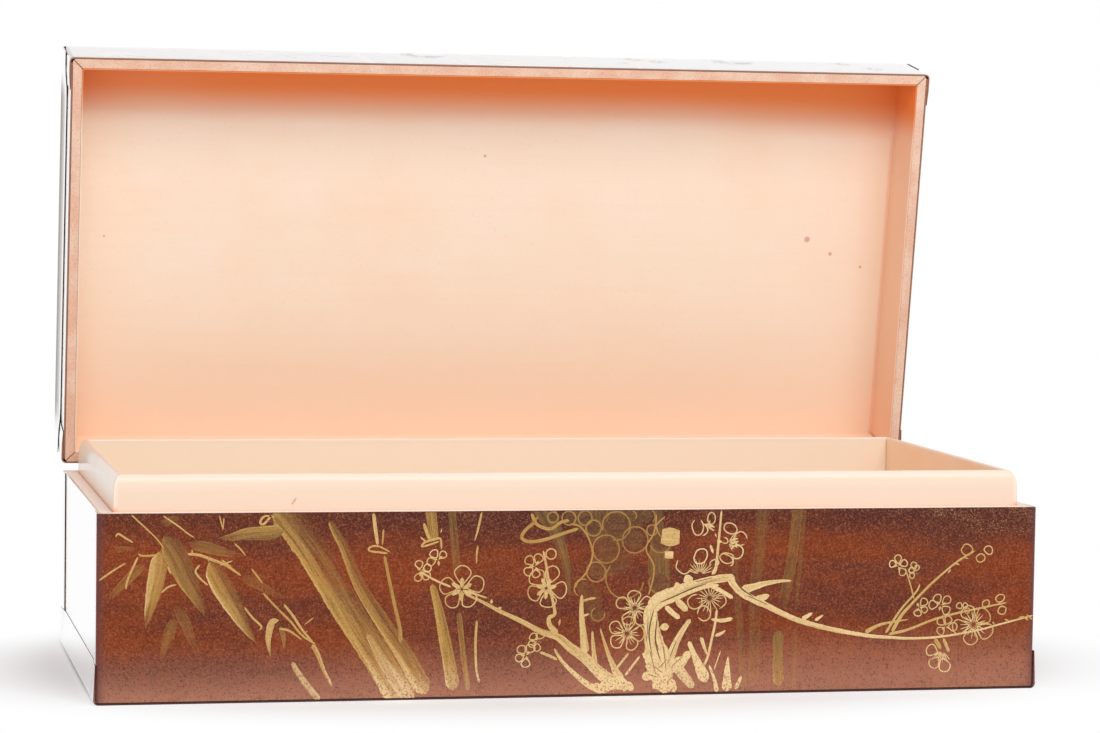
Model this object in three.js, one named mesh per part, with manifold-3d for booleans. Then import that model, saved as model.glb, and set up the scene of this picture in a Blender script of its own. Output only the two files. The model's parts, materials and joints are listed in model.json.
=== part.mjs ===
// A long rectangular box of boards covered in lacquered leather, with its lid standing open.
// The base is a tray of mitred boards, and an inner lip of leather-covered boards rises above
// its rim. The lid is a shallower tray that closes over the lip. It turns on two brass hinges
// that are nailed to the backs of the two trays.
//
// Millimetres, +Z up, +X along the box, -Y the painted front.
// The origin is the centre of the underside of the base.

import * as THREE from 'three';
import { mergeVertices } from 'three/addons/utils/BufferGeometryUtils.js';
import Module from 'manifold-3d';

const wasm = await Module();
wasm.setup();

// Overall sizes, over the leather that wraps round the upright corners.
const boxLength = 420;
const boxDepth = 196;
const baseHeight = 82;
const lidHeight = 36;
const openAngleDegrees = 80;
const rimGap = 0.3;

// Leather, and the glue lines between the layers.
const coverThickness = 0.75;
const foldThickness = 0.9;
const liningThickness = 0.5;
const glueLine = 0.1;
const cornerRadius = 2.3;
const foldRadius = 2.3;
const wrapReach = 15.5;
const foldReach = 17;
const foldMargin = 0.3;

// Boards.
const baseWallThickness = 5.5;
const basePanelThickness = 5;
const lidWallThickness = 4.3;
const lidPanelThickness = 4.5;
const mitreGap = 0.2;

// The lip inside the base.
const lipRise = 15.8;
const lipThickness = 4.6;
const lipRound = 2.5;
const crestRound = 1;
const lipTuck = 8;

// The two hinges on the back.
const hingeInset = 85;
const leafLength = 42;
const leafHeight = 15;
const leafThickness = 1;
const leafGap = 0.1;
const barrelRadius = 3;
const knuckleCount = 3;
const knuckleGap = 0.3;
const pinRadius = 1.7;
const pinPlay = 0.1;
const pinHeadRadius = 2.3;
const pinHeadHeight = 0.7;

// The round-headed nails that hold the hinge leaves.
const nailSpacing = 14;
const nailRadius = 0.6;
const nailLength = 5;
const nailPlay = 0.15;
const nailHeadRadius = 1.5;
const nailHeadHeight = 0.7;
const nailSeat = 0.1;

// How far a cutting shape runs past what it cuts.
const overrun = 1;

// Two points of an outline that are closer than this are one point.
const samePoint = 0.001;

// How finely round stretches are stepped.
const arcSteps = 6;
const barrelSteps = 24;
const nailSteps = 12;
const nailHeadSteps = 3;

// Places that follow from the sizes.
const boardHalfLength = boxLength / 2 - 2 * (coverThickness + glueLine);
const boardHalfDepth = boxDepth / 2 - coverThickness - glueLine;
const boardCornerRadius = cornerRadius - coverThickness - glueLine;
const panelFoot = foldThickness + glueLine;
const hingeOffset = barrelRadius + leafGap;
const knucklePitch = leafLength / knuckleCount;
const quarterTurn = Math.PI / 2;

const colours = {
  lacquer: { color: 0x6e3826, roughness: 0.45, metalness: 0 },
  lining: { color: 0xf3cda9, roughness: 0.75, metalness: 0 },
  board: { color: 0xd8ab8a, roughness: 0.9, metalness: 0 },
  brass: { color: 0xb08d4f, roughness: 0.4, metalness: 1 },
};

function piece(name, geometry, finish) {
  const mesh = new THREE.Mesh(geometry, new THREE.MeshStandardMaterial(colours[finish]));
  mesh.name = name;
  return mesh;
}

// Turning a three.js geometry into a solid that can be joined or cut, and back again.
function solidOf(geometry) {
  const bare = geometry.clone();
  bare.deleteAttribute('normal');
  bare.deleteAttribute('uv');
  const merged = mergeVertices(bare);
  const mesh = new wasm.Mesh({
    numProp: 3,
    vertProperties: Float32Array.from(merged.attributes.position.array),
    triVerts: Uint32Array.from(merged.index.array),
  });
  return new wasm.Manifold(mesh);
}

function geometryOf(solid) {
  const mesh = solid.getMesh();
  const geometry = new THREE.BufferGeometry();
  geometry.setAttribute('position', new THREE.BufferAttribute(mesh.vertProperties, 3));
  geometry.setIndex(new THREE.BufferAttribute(mesh.triVerts, 1));
  geometry.computeVertexNormals();
  return geometry;
}

// Points along an arc, for a profile that is written as a list of points.
function arcPoints(centreX, centreY, radius, startAngle, endAngle) {
  const curve = new THREE.EllipseCurve(
    centreX, centreY, radius, radius, startAngle, endAngle, endAngle < startAngle,
  );
  return curve.getPoints(arcSteps).map((point) => [point.x, point.y]);
}

function shapeOf(points) {
  return new THREE.Shape(points.map(([x, y]) => new THREE.Vector2(x, y)));
}

function roundedRectangle(halfX, halfY, radius) {
  return shapeOf([
    ...arcPoints(halfX - radius, halfY - radius, radius, 0, quarterTurn),
    ...arcPoints(radius - halfX, halfY - radius, radius, quarterTurn, 2 * quarterTurn),
    ...arcPoints(radius - halfX, radius - halfY, radius, 2 * quarterTurn, 3 * quarterTurn),
    ...arcPoints(halfX - radius, radius - halfY, radius, 3 * quarterTurn, 4 * quarterTurn),
  ]);
}

// A flat sheet or board with upright rounded corners, its underside at the given height.
function roundedSheet(halfX, halfY, radius, foot, thickness) {
  const shape = roundedRectangle(halfX, halfY, radius);
  const geometry = new THREE.ExtrudeGeometry(shape, { depth: thickness, bevelEnabled: false });
  return geometry.translate(0, 0, foot);
}

// A wall along X with both ends cut at 45 degrees. The profile holds [inward, up] points,
// and inward is counted from the outside of the boards, so every layer meets its mitre.
function mitredWall(profile, halfLength) {
  const geometry = new THREE.ExtrudeGeometry(shapeOf(profile), { depth: 1, bevelEnabled: false });
  const places = geometry.attributes.position;
  const setBack = mitreGap * Math.SQRT1_2;
  for (let index = 0; index < places.count; index += 1) {
    const inward = places.getX(index);
    const up = places.getY(index);
    const end = Math.sign(places.getZ(index) - 0.5);
    places.setXYZ(index, end * (halfLength - inward - setBack), inward, up);
  }
  return geometry;
}

// The four sides of a tray. The near side is at -Y, and the names say what each one is called.
function sidesOf(nearName, farName) {
  return [
    { side: nearName, turn: 0, halfLength: boardHalfLength, distance: boardHalfDepth },
    { side: 'right', turn: quarterTurn, halfLength: boardHalfDepth, distance: boardHalfLength },
    { side: farName, turn: 2 * quarterTurn, halfLength: boardHalfLength, distance: boardHalfDepth },
    { side: 'left', turn: -quarterTurn, halfLength: boardHalfDepth, distance: boardHalfLength },
  ];
}

// One mitred piece on each side, named by the side.
function ringOfWalls(sides, profile, nameOf, finish) {
  return sides.map(({ side, turn, halfLength, distance }) => {
    const wall = piece(nameOf(side), mitredWall(profile, halfLength), finish);
    wall.rotation.z = turn;
    wall.position.set(0, -distance, 0).applyAxisAngle(new THREE.Vector3(0, 0, 1), turn);
    return wall;
  });
}

// A sheet of leather bent round two edges, seen end on: a flat run with its outer face at
// zero, and a short leg at each end. It is extruded through the run and centred on it.
function foldedSheet(halfWidth, reach, thickness, radius, run) {
  const inner = radius - thickness;
  const shape = shapeOf([
    [-halfWidth, reach],
    ...arcPoints(radius - halfWidth, radius, radius, 2 * quarterTurn, 3 * quarterTurn),
    ...arcPoints(halfWidth - radius, radius, radius, 3 * quarterTurn, 4 * quarterTurn),
    [halfWidth, reach],
    [halfWidth - thickness, reach],
    ...arcPoints(halfWidth - radius, radius, inner, 4 * quarterTurn, 3 * quarterTurn),
    ...arcPoints(radius - halfWidth, radius, inner, 3 * quarterTurn, 2 * quarterTurn),
    [thickness - halfWidth, reach],
  ]);
  const geometry = new THREE.ExtrudeGeometry(shape, { depth: run, bevelEnabled: false });
  return geometry.translate(0, 0, -run / 2);
}

// What lies inside the folded sheet: its two long lower edges are rounded like the bend.
function foldCore(height) {
  const radius = foldRadius - foldThickness - glueLine;
  const halfWidth = boxLength / 2;
  const shape = shapeOf([
    ...arcPoints(radius - halfWidth, panelFoot + radius, radius, 2 * quarterTurn, 3 * quarterTurn),
    ...arcPoints(halfWidth - radius, panelFoot + radius, radius, 3 * quarterTurn, 4 * quarterTurn),
    [halfWidth, height + overrun],
    [-halfWidth, height + overrun],
  ]);
  const run = boxDepth + 2 * overrun;
  const geometry = new THREE.ExtrudeGeometry(shape, { depth: run, bevelEnabled: false });
  return geometry.translate(0, 0, -run / 2).rotateX(quarterTurn);
}

// A tray of leather-covered boards that stands on its panel with its rim up.
function makeTray({ prefix, panelName, nearName, farName, height, wall, panel }) {
  const sides = sidesOf(nearName, farName);
  const wallFoot = panelFoot + panel + glueLine;
  const tray = new THREE.Group();

  const panelBoard = roundedSheet(
    boardHalfLength, boardHalfDepth, boardCornerRadius, panelFoot, panel,
  );
  tray.add(piece(`${prefix}_${panelName}_board`, panelBoard, 'board'));

  const boardProfile = [[0, wallFoot], [wall, wallFoot], [wall, height], [0, height]];
  const boards = ringOfWalls(sides, boardProfile, (side) => `${prefix}_${side}_board`, 'board');
  const rounding = roundedSheet(
    boardHalfLength, boardHalfDepth, boardCornerRadius, 0, height + overrun,
  );
  boards.forEach((board) => {
    board.updateMatrix();
    const block = rounding.clone().applyMatrix4(board.matrix.clone().invert());
    board.geometry = geometryOf(solidOf(board.geometry).intersect(solidOf(block)));
    tray.add(board);
  });

  const foldHalfWidth = boxLength / 2 + glueLine + foldThickness;
  const foldRun = boxDepth - 2 * foldMargin;
  const fold = foldedSheet(foldHalfWidth, foldReach, foldThickness, foldRadius, foldRun);
  tray.add(piece(`${prefix}_${panelName}_cover`, fold.rotateX(quarterTurn), 'lacquer'));

  const wrapHeight = height - panelFoot;
  const wrap = foldedSheet(boxLength / 2, wrapReach, coverThickness, cornerRadius, wrapHeight);
  wrap.translate(0, -boxDepth / 2, panelFoot + wrapHeight / 2);
  const wrapGeometry = geometryOf(solidOf(wrap).intersect(solidOf(foldCore(height))));
  [[nearName, 0], [farName, 2 * quarterTurn]].forEach(([side, turn]) => {
    const cover = piece(`${prefix}_${side}_cover`, wrapGeometry.clone(), 'lacquer');
    cover.rotation.z = turn;
    tray.add(cover);
  });

  const sideLength = boxDepth - 2 * cornerRadius;
  const sideInset = coverThickness + glueLine + coverThickness / 2;
  ['left', 'right'].forEach((side) => {
    const sheet = new THREE.BoxGeometry(coverThickness, sideLength, wrapHeight);
    const cover = piece(`${prefix}_${side}_cover`, sheet, 'lacquer');
    const outward = side === 'right' ? 1 : -1;
    cover.position.set(outward * (boxLength / 2 - sideInset), 0, panelFoot + wrapHeight / 2);
    tray.add(cover);
  });
  return tray;
}

// The base: a deep tray with a lip inside it and a lined floor.
const baseSides = sidesOf('front', 'rear');
const lipFoot = panelFoot + basePanelThickness + glueLine;
const lipTop = baseHeight + lipRise;
const lipOutside = baseWallThickness + glueLine;
const lipLean = lipThickness - lipRound - crestRound;

// The lip's outline at a depth under its leather: up the outer face, which leans in above the
// rim, over the rounded crest and down the inner face.
function lipOutline(depth, outerFoot) {
  return [
    [lipOutside + depth, outerFoot],
    [lipOutside + depth, baseHeight],
    ...arcPoints(
      lipOutside + lipLean + lipRound, lipTop - lipRound, lipRound - depth,
      2 * quarterTurn, quarterTurn,
    ),
    ...arcPoints(
      lipOutside + lipThickness - crestRound, lipTop - crestRound, crestRound - depth,
      quarterTurn, 0,
    ),
    [lipOutside + lipThickness - depth, lipFoot],
  ].filter(([inward, up], index, points) => {
    const before = points[index - 1];
    return !before || Math.hypot(inward - before[0], up - before[1]) > samePoint;
  });
}

function makeBase() {
  const base = makeTray({
    prefix: 'base',
    panelName: 'bottom',
    nearName: 'front',
    farName: 'rear',
    height: baseHeight,
    wall: baseWallThickness,
    panel: basePanelThickness,
  });

  const lipBoard = lipOutline(liningThickness + glueLine, lipFoot);
  base.add(...ringOfWalls(baseSides, lipBoard, (side) => `lip_${side}_board`, 'board'));

  const leatherFoot = baseHeight - lipTuck;
  const lipLeather = [
    ...lipOutline(0, leatherFoot),
    ...lipOutline(liningThickness, leatherFoot).reverse(),
  ];
  base.add(...ringOfWalls(baseSides, lipLeather, (side) => `lip_${side}_leather`, 'lining'));

  const floorInset = lipOutside + lipThickness + glueLine;
  const floor = new THREE.BoxGeometry(
    2 * (boardHalfLength - floorInset), 2 * (boardHalfDepth - floorInset), liningThickness,
  );
  floor.translate(0, 0, lipFoot + liningThickness / 2);
  base.add(piece('base_floor_lining', floor, 'lining'));
  return base;
}

// The lid: a shallow tray, made with its rim up and then turned over. Turned over, its near
// side becomes the rear.
function makeLid() {
  const lid = makeTray({
    prefix: 'lid',
    panelName: 'top',
    nearName: 'rear',
    farName: 'front',
    height: lidHeight,
    wall: lidWallThickness,
    panel: lidPanelThickness,
  });

  const panelTop = panelFoot + lidPanelThickness + glueLine;
  const ceilingInset = lidWallThickness + glueLine;
  const ceiling = new THREE.BoxGeometry(
    2 * (boardHalfLength - ceilingInset), 2 * (boardHalfDepth - ceilingInset), liningThickness,
  );
  ceiling.translate(0, 0, panelTop + liningThickness / 2);
  lid.add(piece('lid_panel_lining', ceiling, 'lining'));

  const liningFoot = panelTop + liningThickness + glueLine;
  const outside = lidWallThickness + glueLine;
  const inside = outside + liningThickness;
  const profile = [
    [outside, liningFoot], [inside, liningFoot], [inside, lidHeight], [outside, lidHeight],
  ];
  const lidSides = sidesOf('rear', 'front');
  lid.add(...ringOfWalls(lidSides, profile, (side) => `lid_${side}_lining`, 'lining'));
  return lid;
}

// A hinge leaf, hanging down from the pin at the origin with its back against the box.
// The knuckles are given as the middles of their stretches along X.
function leafGeometry(knuckleMiddles) {
  const knuckleLength = knucklePitch - knuckleGap;
  const plateTop = -barrelRadius - knuckleGap;
  const plate = new THREE.BoxGeometry(leafLength, leafThickness, leafHeight + plateTop);
  plate.translate(0, leafThickness / 2 - barrelRadius, (plateTop - leafHeight) / 2);

  const meetAngle = Math.acos((leafThickness - barrelRadius) / barrelRadius);
  const roll = new THREE.Shape();
  roll.moveTo(-barrelRadius, -leafHeight);
  roll.absarc(0, 0, barrelRadius, Math.PI, -meetAngle, true);
  roll.lineTo(leafThickness - barrelRadius, -leafHeight);
  const bore = new THREE.Path();
  bore.absarc(0, 0, pinRadius + pinPlay, 0, 2 * Math.PI, false);
  roll.holes.push(bore);
  const knuckle = new THREE.ExtrudeGeometry(roll, {
    depth: knuckleLength, bevelEnabled: false, curveSegments: barrelSteps,
  });
  knuckle.translate(0, 0, -knuckleLength / 2);
  const alongX = new THREE.Matrix4().makeBasis(
    new THREE.Vector3(0, 1, 0), new THREE.Vector3(0, 0, 1), new THREE.Vector3(1, 0, 0),
  );
  knuckle.applyMatrix4(alongX);

  const joined = knuckleMiddles.reduce(
    (solid, middle) => solid.add(solidOf(knuckle.clone().translate(middle, 0, 0))),
    solidOf(plate),
  );
  return geometryOf(joined);
}

function pinGeometry() {
  const shaftEnd = leafLength / 2 + knuckleGap;
  const end = shaftEnd + pinHeadHeight;
  const profile = [
    [0, -end], [pinRadius, -end], [pinHeadRadius, -shaftEnd], [pinRadius, -shaftEnd],
    [pinRadius, shaftEnd], [pinHeadRadius, shaftEnd], [pinRadius, end], [0, end],
  ].map(([radius, along]) => new THREE.Vector2(radius, along));
  return new THREE.LatheGeometry(profile, barrelSteps).rotateZ(quarterTurn);
}

// A nail with its head's underside at the origin and its shank along -Y.
function nailGeometry() {
  const crown = Array.from({ length: nailHeadSteps }, (_, step) => {
    const angle = quarterTurn * step / nailHeadSteps;
    return [nailHeadRadius * Math.cos(angle), nailHeadHeight * Math.sin(angle)];
  });
  const profile = [
    [0, -nailLength],
    [nailRadius, nailRadius - nailLength],
    [nailRadius, 0],
    ...crown,
    [0, nailHeadHeight],
  ].map(([radius, along]) => new THREE.Vector2(radius, along));
  return new THREE.LatheGeometry(profile, nailSteps);
}

function drillGeometry() {
  const depth = nailLength + nailPlay;
  const drill = new THREE.CylinderGeometry(
    nailRadius + nailPlay, nailRadius + nailPlay, depth + overrun, nailSteps,
  );
  return drill.translate(0, (overrun - depth) / 2, 0);
}

// Drills the hole of a placed nail in every piece that it goes through.
function drillFor(nail, pieces) {
  pieces.forEach((target) => {
    const toTarget = target.matrixWorld.clone().invert().multiply(nail.matrixWorld);
    const drill = solidOf(drillGeometry().applyMatrix4(toTarget));
    target.geometry = geometryOf(solidOf(target.geometry).subtract(drill));
  });
}

const box = new THREE.Group();
const base = makeBase();
box.add(base);

// Everything that swings hangs in this group, whose origin is on the hinge axis.
const swing = new THREE.Group();
swing.position.set(0, boxDepth / 2 + hingeOffset, baseHeight);
swing.rotation.x = -THREE.MathUtils.degToRad(openAngleDegrees);
box.add(swing);

const lid = makeLid();
lid.position.set(0, -boxDepth / 2 - hingeOffset, rimGap + lidHeight);
lid.rotation.x = Math.PI;
swing.add(lid);

// Each hinge has a leaf with two knuckles on the base, a leaf with one knuckle on the lid,
// a pin through all three, and three nails in each leaf.
const nails = [];
[['left', -1], ['right', 1]].forEach(([side, outward]) => {
  const hingeX = outward * (boxLength / 2 - hingeInset);
  const fixedHalf = new THREE.Group();
  fixedHalf.position.set(hingeX, boxDepth / 2 + hingeOffset, baseHeight);
  box.add(fixedHalf);
  const swingHalf = new THREE.Group();
  swingHalf.position.set(hingeX, 0, 0);
  swing.add(swingHalf);

  const baseLeaf = piece(
    `${side}_hinge_base_leaf`, leafGeometry([-knucklePitch, knucklePitch]), 'brass',
  );
  const lidLeaf = piece(`${side}_hinge_lid_leaf`, leafGeometry([0]), 'brass');
  lidLeaf.rotation.y = Math.PI;
  fixedHalf.add(baseLeaf, piece(`${side}_hinge_pin`, pinGeometry(), 'brass'));
  swingHalf.add(lidLeaf);

  const nailY = leafThickness - barrelRadius + nailSeat;
  const nailDrop = (leafHeight + barrelRadius) / 2;
  [[fixedHalf, 'base', -1, baseLeaf], [swingHalf, 'lid', 1, lidLeaf]].forEach(
    ([half, tray, upward, leaf]) => {
      [-1, 0, 1].forEach((step, index) => {
        const nail = piece(`${side}_hinge_${tray}_nail_${index + 1}`, nailGeometry(), 'brass');
        nail.position.set(step * nailSpacing, nailY, upward * nailDrop);
        half.add(nail);
        nails.push({ nail, leaf, tray });
      });
    },
  );
});

box.updateMatrixWorld(true);
nails.forEach(({ nail, leaf, tray }) => {
  const cover = box.getObjectByName(`${tray}_rear_cover`);
  const board = box.getObjectByName(`${tray}_rear_board`);
  drillFor(nail, [leaf, cover, board]);
});

export default box;
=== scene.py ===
# %% [markdown]
# # A lacquered leather box with its lid open
#
# The real box is a long tray of mitred boards under brown lacquered leather, painted in gold. An
# inner lip of pale leather rises above the rim, and a shallower tray, the lid, closes over it.
#
# The construction is already settled: it is loaded here as a fixed frame, with every board, sheet
# of leather and hinge at its real size. This script makes the looks: softened edges, bent sheets
# of leather, rolled brass, gilding, and a material for each. Nothing here moves or resizes a part
# of the frame, so every size below is measured from it.

import json
import math
import random
from contextlib import contextmanager

import bmesh
import bpy
from mathutils import Matrix, Vector, noise


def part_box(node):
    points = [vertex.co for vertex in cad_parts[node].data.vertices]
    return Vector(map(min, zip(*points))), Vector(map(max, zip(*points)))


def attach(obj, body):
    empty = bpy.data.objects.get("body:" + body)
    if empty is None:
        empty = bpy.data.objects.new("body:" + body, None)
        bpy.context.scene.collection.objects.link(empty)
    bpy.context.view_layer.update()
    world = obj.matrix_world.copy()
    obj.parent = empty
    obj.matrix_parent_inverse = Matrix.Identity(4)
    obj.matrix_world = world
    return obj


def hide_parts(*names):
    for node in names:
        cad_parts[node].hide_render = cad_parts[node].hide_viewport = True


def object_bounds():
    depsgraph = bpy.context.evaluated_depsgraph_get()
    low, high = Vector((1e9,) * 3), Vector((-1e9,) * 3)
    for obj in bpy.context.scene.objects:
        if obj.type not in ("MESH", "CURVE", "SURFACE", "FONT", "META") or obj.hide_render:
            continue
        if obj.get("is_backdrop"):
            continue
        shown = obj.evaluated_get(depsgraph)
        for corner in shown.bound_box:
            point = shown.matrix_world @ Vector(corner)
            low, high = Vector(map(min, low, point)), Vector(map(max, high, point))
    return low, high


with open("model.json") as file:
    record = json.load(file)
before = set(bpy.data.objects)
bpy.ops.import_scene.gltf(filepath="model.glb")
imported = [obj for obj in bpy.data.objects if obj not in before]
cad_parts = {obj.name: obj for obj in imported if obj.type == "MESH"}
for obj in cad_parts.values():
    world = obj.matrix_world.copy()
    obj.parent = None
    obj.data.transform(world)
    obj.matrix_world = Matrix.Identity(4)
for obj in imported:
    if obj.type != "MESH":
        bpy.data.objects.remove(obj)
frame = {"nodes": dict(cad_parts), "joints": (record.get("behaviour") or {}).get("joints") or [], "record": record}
cad_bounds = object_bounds()
MM = 0.001
print("the frame has", len(frame["nodes"]), "nodes")

# %% [markdown]
# ## Where things are
#
# A box like this is made as two trays. Each is built standing on its panel with the rim up, and
# the lid is then turned over and swung open on its hinges. It pays to work the same way: every
# sheet and board of the lid is modelled lying square, and one matrix carries it to its open place.
# The hinge in the frame gives that matrix, because the rest pose is open by the joint's range.

# %% The trays' own coordinates
hinge_joint = frame["joints"][0]
hinge_place = Vector(hinge_joint["pos_m"])
open_angle = math.radians(hinge_joint["range_deg"][1])
to_hinge = Matrix.Translation(hinge_place)
swing_open = to_hinge @ Matrix.Rotation(-open_angle, 4, "X") @ to_hinge.inverted()
swing_shut = swing_open.inverted()
UPRIGHT = Matrix.Rotation(math.pi / 2, 4, "X")


def measured(node, placing=None):
    """A node's lowest and highest corner, in the coordinates that the placing leads from."""
    back = (placing or Matrix.Identity(4)).inverted()
    places = [back @ vertex.co for vertex in frame["nodes"][node].data.vertices]
    low = Vector([min(place[axis] for place in places) for axis in range(3)])
    high = Vector([max(place[axis] for place in places) for axis in range(3)])
    return low, high


base_place = Matrix.Identity(4)
lid_top = measured("lid_top_cover", swing_open)[1].z
lid_place = swing_open @ Matrix.Translation((0, 0, lid_top)) @ Matrix.Rotation(math.pi, 4, "X")
print("lid top when shut", round(lid_top / MM, 2), "mm")


class Tray:
    """The sizes of one tray, read from the frame with the tray standing on its panel."""

    def __init__(self, body, panel, near, far, placing):
        self.body = body
        self.panel = panel
        self.near = near
        self.far = far
        self.placing = placing
        wrap_low, wrap_high = measured(f"{body}_{near}_cover", placing)
        fold_low, fold_high = measured(f"{body}_{panel}_cover", placing)
        side_low, side_high = measured(f"{body}_left_cover", placing)
        self.half_length = wrap_high.x
        self.half_depth = -wrap_low.y
        self.height = wrap_high.z
        self.foot = wrap_low.z
        self.wrap_reach = wrap_high.y - wrap_low.y
        self.fold_half_length = fold_high.x
        self.fold_half_run = fold_high.y
        self.fold_reach = fold_high.z - fold_low.z
        self.side_leather = side_high.x - side_low.x
        self.side_face = side_low.x
        self.side_half_run = side_high.y
        self.board_half_depth = -measured(f"{body}_{near}_board", placing)[0].y
        self.board_half_length = -measured(f"{body}_left_board", placing)[0].x


base_tray = Tray("base", "bottom", "front", "rear", base_place)
lid_tray = Tray("lid", "top", "rear", "front", lid_place)
TRAYS = {"base": base_tray, "lid": lid_tray}
for tray in TRAYS.values():
    sizes = (2 * tray.half_length, 2 * tray.half_depth, tray.height, tray.side_leather)
    print(tray.body, [round(size / MM, 2) for size in sizes], "mm")

# %% [markdown]
# ## Node trees as plain Python
#
# Every finish here is worked out from patterns: grain, blotches, wear, dust. Wiring that by hand
# in the node editor is slow to read. Instead, a Wire holds one socket and knows how to add,
# subtract, multiply and divide, so a sum of two patterns reads like a sum. Nodes holds one tree,
# and its node() method makes any other node from its type, settings and inputs. Finish and
# Recipe, below, are the two kinds of tree: a material, and a Geometry Nodes modifier.


# %% Wire and Nodes
def overloaded(operation, reflected=False):
    """An operator that adds one Math node. Reflected, it has the wire on its right."""

    def operator(self, other):
        first, second = (other, self) if reflected else (self, other)
        return self.sum(operation, first, second)

    return operator


class Wire:
    """One output socket of a node tree, which can take part in sums."""

    def __init__(self, nodes, socket):
        self.nodes = nodes
        self.socket = socket

    def sum(self, operation, first, second=0.0, clamp=False):
        settings = {"operation": operation, "use_clamp": clamp}
        return self.nodes.node("ShaderNodeMath", settings, {0: first, 1: second})

    __add__ = overloaded("ADD")
    __radd__ = overloaded("ADD", reflected=True)
    __sub__ = overloaded("SUBTRACT")
    __rsub__ = overloaded("SUBTRACT", reflected=True)
    __mul__ = overloaded("MULTIPLY")
    __rmul__ = overloaded("MULTIPLY", reflected=True)
    __truediv__ = overloaded("DIVIDE")

    def clamped(self):
        return self.sum("ADD", self, 0.0, clamp=True)

    def size(self):
        return self.sum("ABSOLUTE", self)

    def sign(self):
        return self.sum("SIGN", self)

    def sine(self):
        return self.sum("SINE", self)

    def power(self, exponent):
        return self.sum("POWER", self, exponent)

    def at_least(self, other):
        return self.sum("MAXIMUM", self, other)

    def at_most(self, other):
        return self.sum("MINIMUM", self, other)

    def above(self, level, softness):
        """0 well below a level, 1 well above it, with a soft step between."""
        inputs = {0: self, 1: level - softness, 2: level + softness, 3: 0.0, 4: 1.0}
        return self.nodes.node("ShaderNodeMapRange", {"interpolation_type": "SMOOTHSTEP"}, inputs)

    def below(self, level, softness):
        return 1 - self.above(level, softness)


class Nodes:
    """A node tree that is built by calls."""

    def __init__(self, tree):
        self.tree = tree

    def node(self, kind, settings, inputs, output=0):
        made = self.tree.nodes.new(kind)
        for name, value in settings.items():
            setattr(made, name, value)
        for key, value in inputs.items():
            if isinstance(value, Wire):
                self.tree.links.new(value.socket, made.inputs[key])
            else:
                made.inputs[key].default_value = value
        return Wire(self, made.outputs[output])

    def ends_in(self, kind, wire):
        """The tree's output node, with the wire in its first socket."""
        ending = self.tree.nodes.new(kind)
        self.tree.links.new(wire.socket, ending.inputs[0])

    def axes(self, place):
        return [self.node("ShaderNodeSeparateXYZ", {}, {0: place}, axis) for axis in range(3)]

    def combined(self, x, y, z):
        return self.node("ShaderNodeCombineXYZ", {}, {0: x, 1: y, 2: z})

    def vector(self, operation, first, second, output=0):
        inputs = {0: first, 1: second}
        return self.node("ShaderNodeVectorMath", {"operation": operation}, inputs, output)

    def stretched(self, place, scale):
        return self.vector("MULTIPLY", place, scale)

    def noise(self, place, scale, detail=3.0, roughness=0.5):
        inputs = {"Vector": place, "Scale": scale, "Detail": detail, "Roughness": roughness}
        return self.node("ShaderNodeTexNoise", {}, inputs, "Fac")


# %% [markdown]
# ## Finishes
#
# A Finish is one material. Patterns are read in the coordinates of the shut box, so that grain
# and zones of colour run on from the base to the lid as they do on the real thing. For the base
# those are simply its Object coordinates. The lid stands open, so a Mapping node turns its Object
# coordinates back round the hinge first.


# %% Finish
MIRROR_FROM = 0.83
MIRROR_SOFTNESS = 0.05


class Finish(Nodes):
    """One procedural material."""

    def __init__(self, name, body):
        self.material = bpy.data.materials.new(name)
        self.material.use_nodes = True
        super().__init__(self.material.node_tree)
        self.tree.nodes.clear()
        self.place = self.node("ShaderNodeTexCoord", {}, {}, "Object")
        if body == "lid":
            turned = {"Location": swing_shut.to_translation(), "Rotation": (open_angle, 0, 0)}
            self.place = self.node("ShaderNodeMapping", {}, {"Vector": self.place, **turned})

    def attribute(self, name):
        return self.node("ShaderNodeAttribute", {"attribute_name": name}, {}, "Fac")

    def mix(self, share, first, second):
        """From the first colour to the second as the share goes from 0 to 1."""
        settings = {"data_type": "RGBA", "clamp_factor": True}
        return self.node("ShaderNodeMix", settings, {0: share, 6: first, 7: second}, 2)

    def near(self, centre, radius, softness):
        """1 close to a point and 0 away from it."""
        return self.vector("DISTANCE", self.place, centre, "Value").below(radius, softness)

    def bumped(self, height, depth):
        inputs = {"Strength": 1.0, "Distance": depth, "Height": height}
        return self.node("ShaderNodeBump", {}, inputs)

    def surface(self, inputs, polish=0.0):
        """The finished material. Polished lacquer turns into a mirror where it is seen edge on."""
        shader = self.node("ShaderNodeBsdfPrincipled", {}, inputs)
        if polish:
            white_gloss = {"Base Color": (1, 1, 1, 1), "Metallic": 1.0, "Roughness": 0.15}
            mirror = self.node("ShaderNodeBsdfPrincipled", {}, white_gloss)
            facing = self.node("ShaderNodeLayerWeight", {}, {"Blend": 0.5}, "Facing")
            share = facing.above(MIRROR_FROM, MIRROR_SOFTNESS) * polish
            shader = self.node("ShaderNodeMixShader", {}, {0: share, 1: shader, 2: mirror})
        self.ends_in("ShaderNodeOutputMaterial", shader)
        return self.material


def paint_colour(red, green, blue):
    """A colour as a screen gives it, 0 to 255, turned into light."""

    def light(level):
        share = level / 255
        return share / 12.92 if share <= 0.04045 else ((share + 0.055) / 1.055) ** 2.4

    return (light(red), light(green), light(blue), 1.0)
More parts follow.
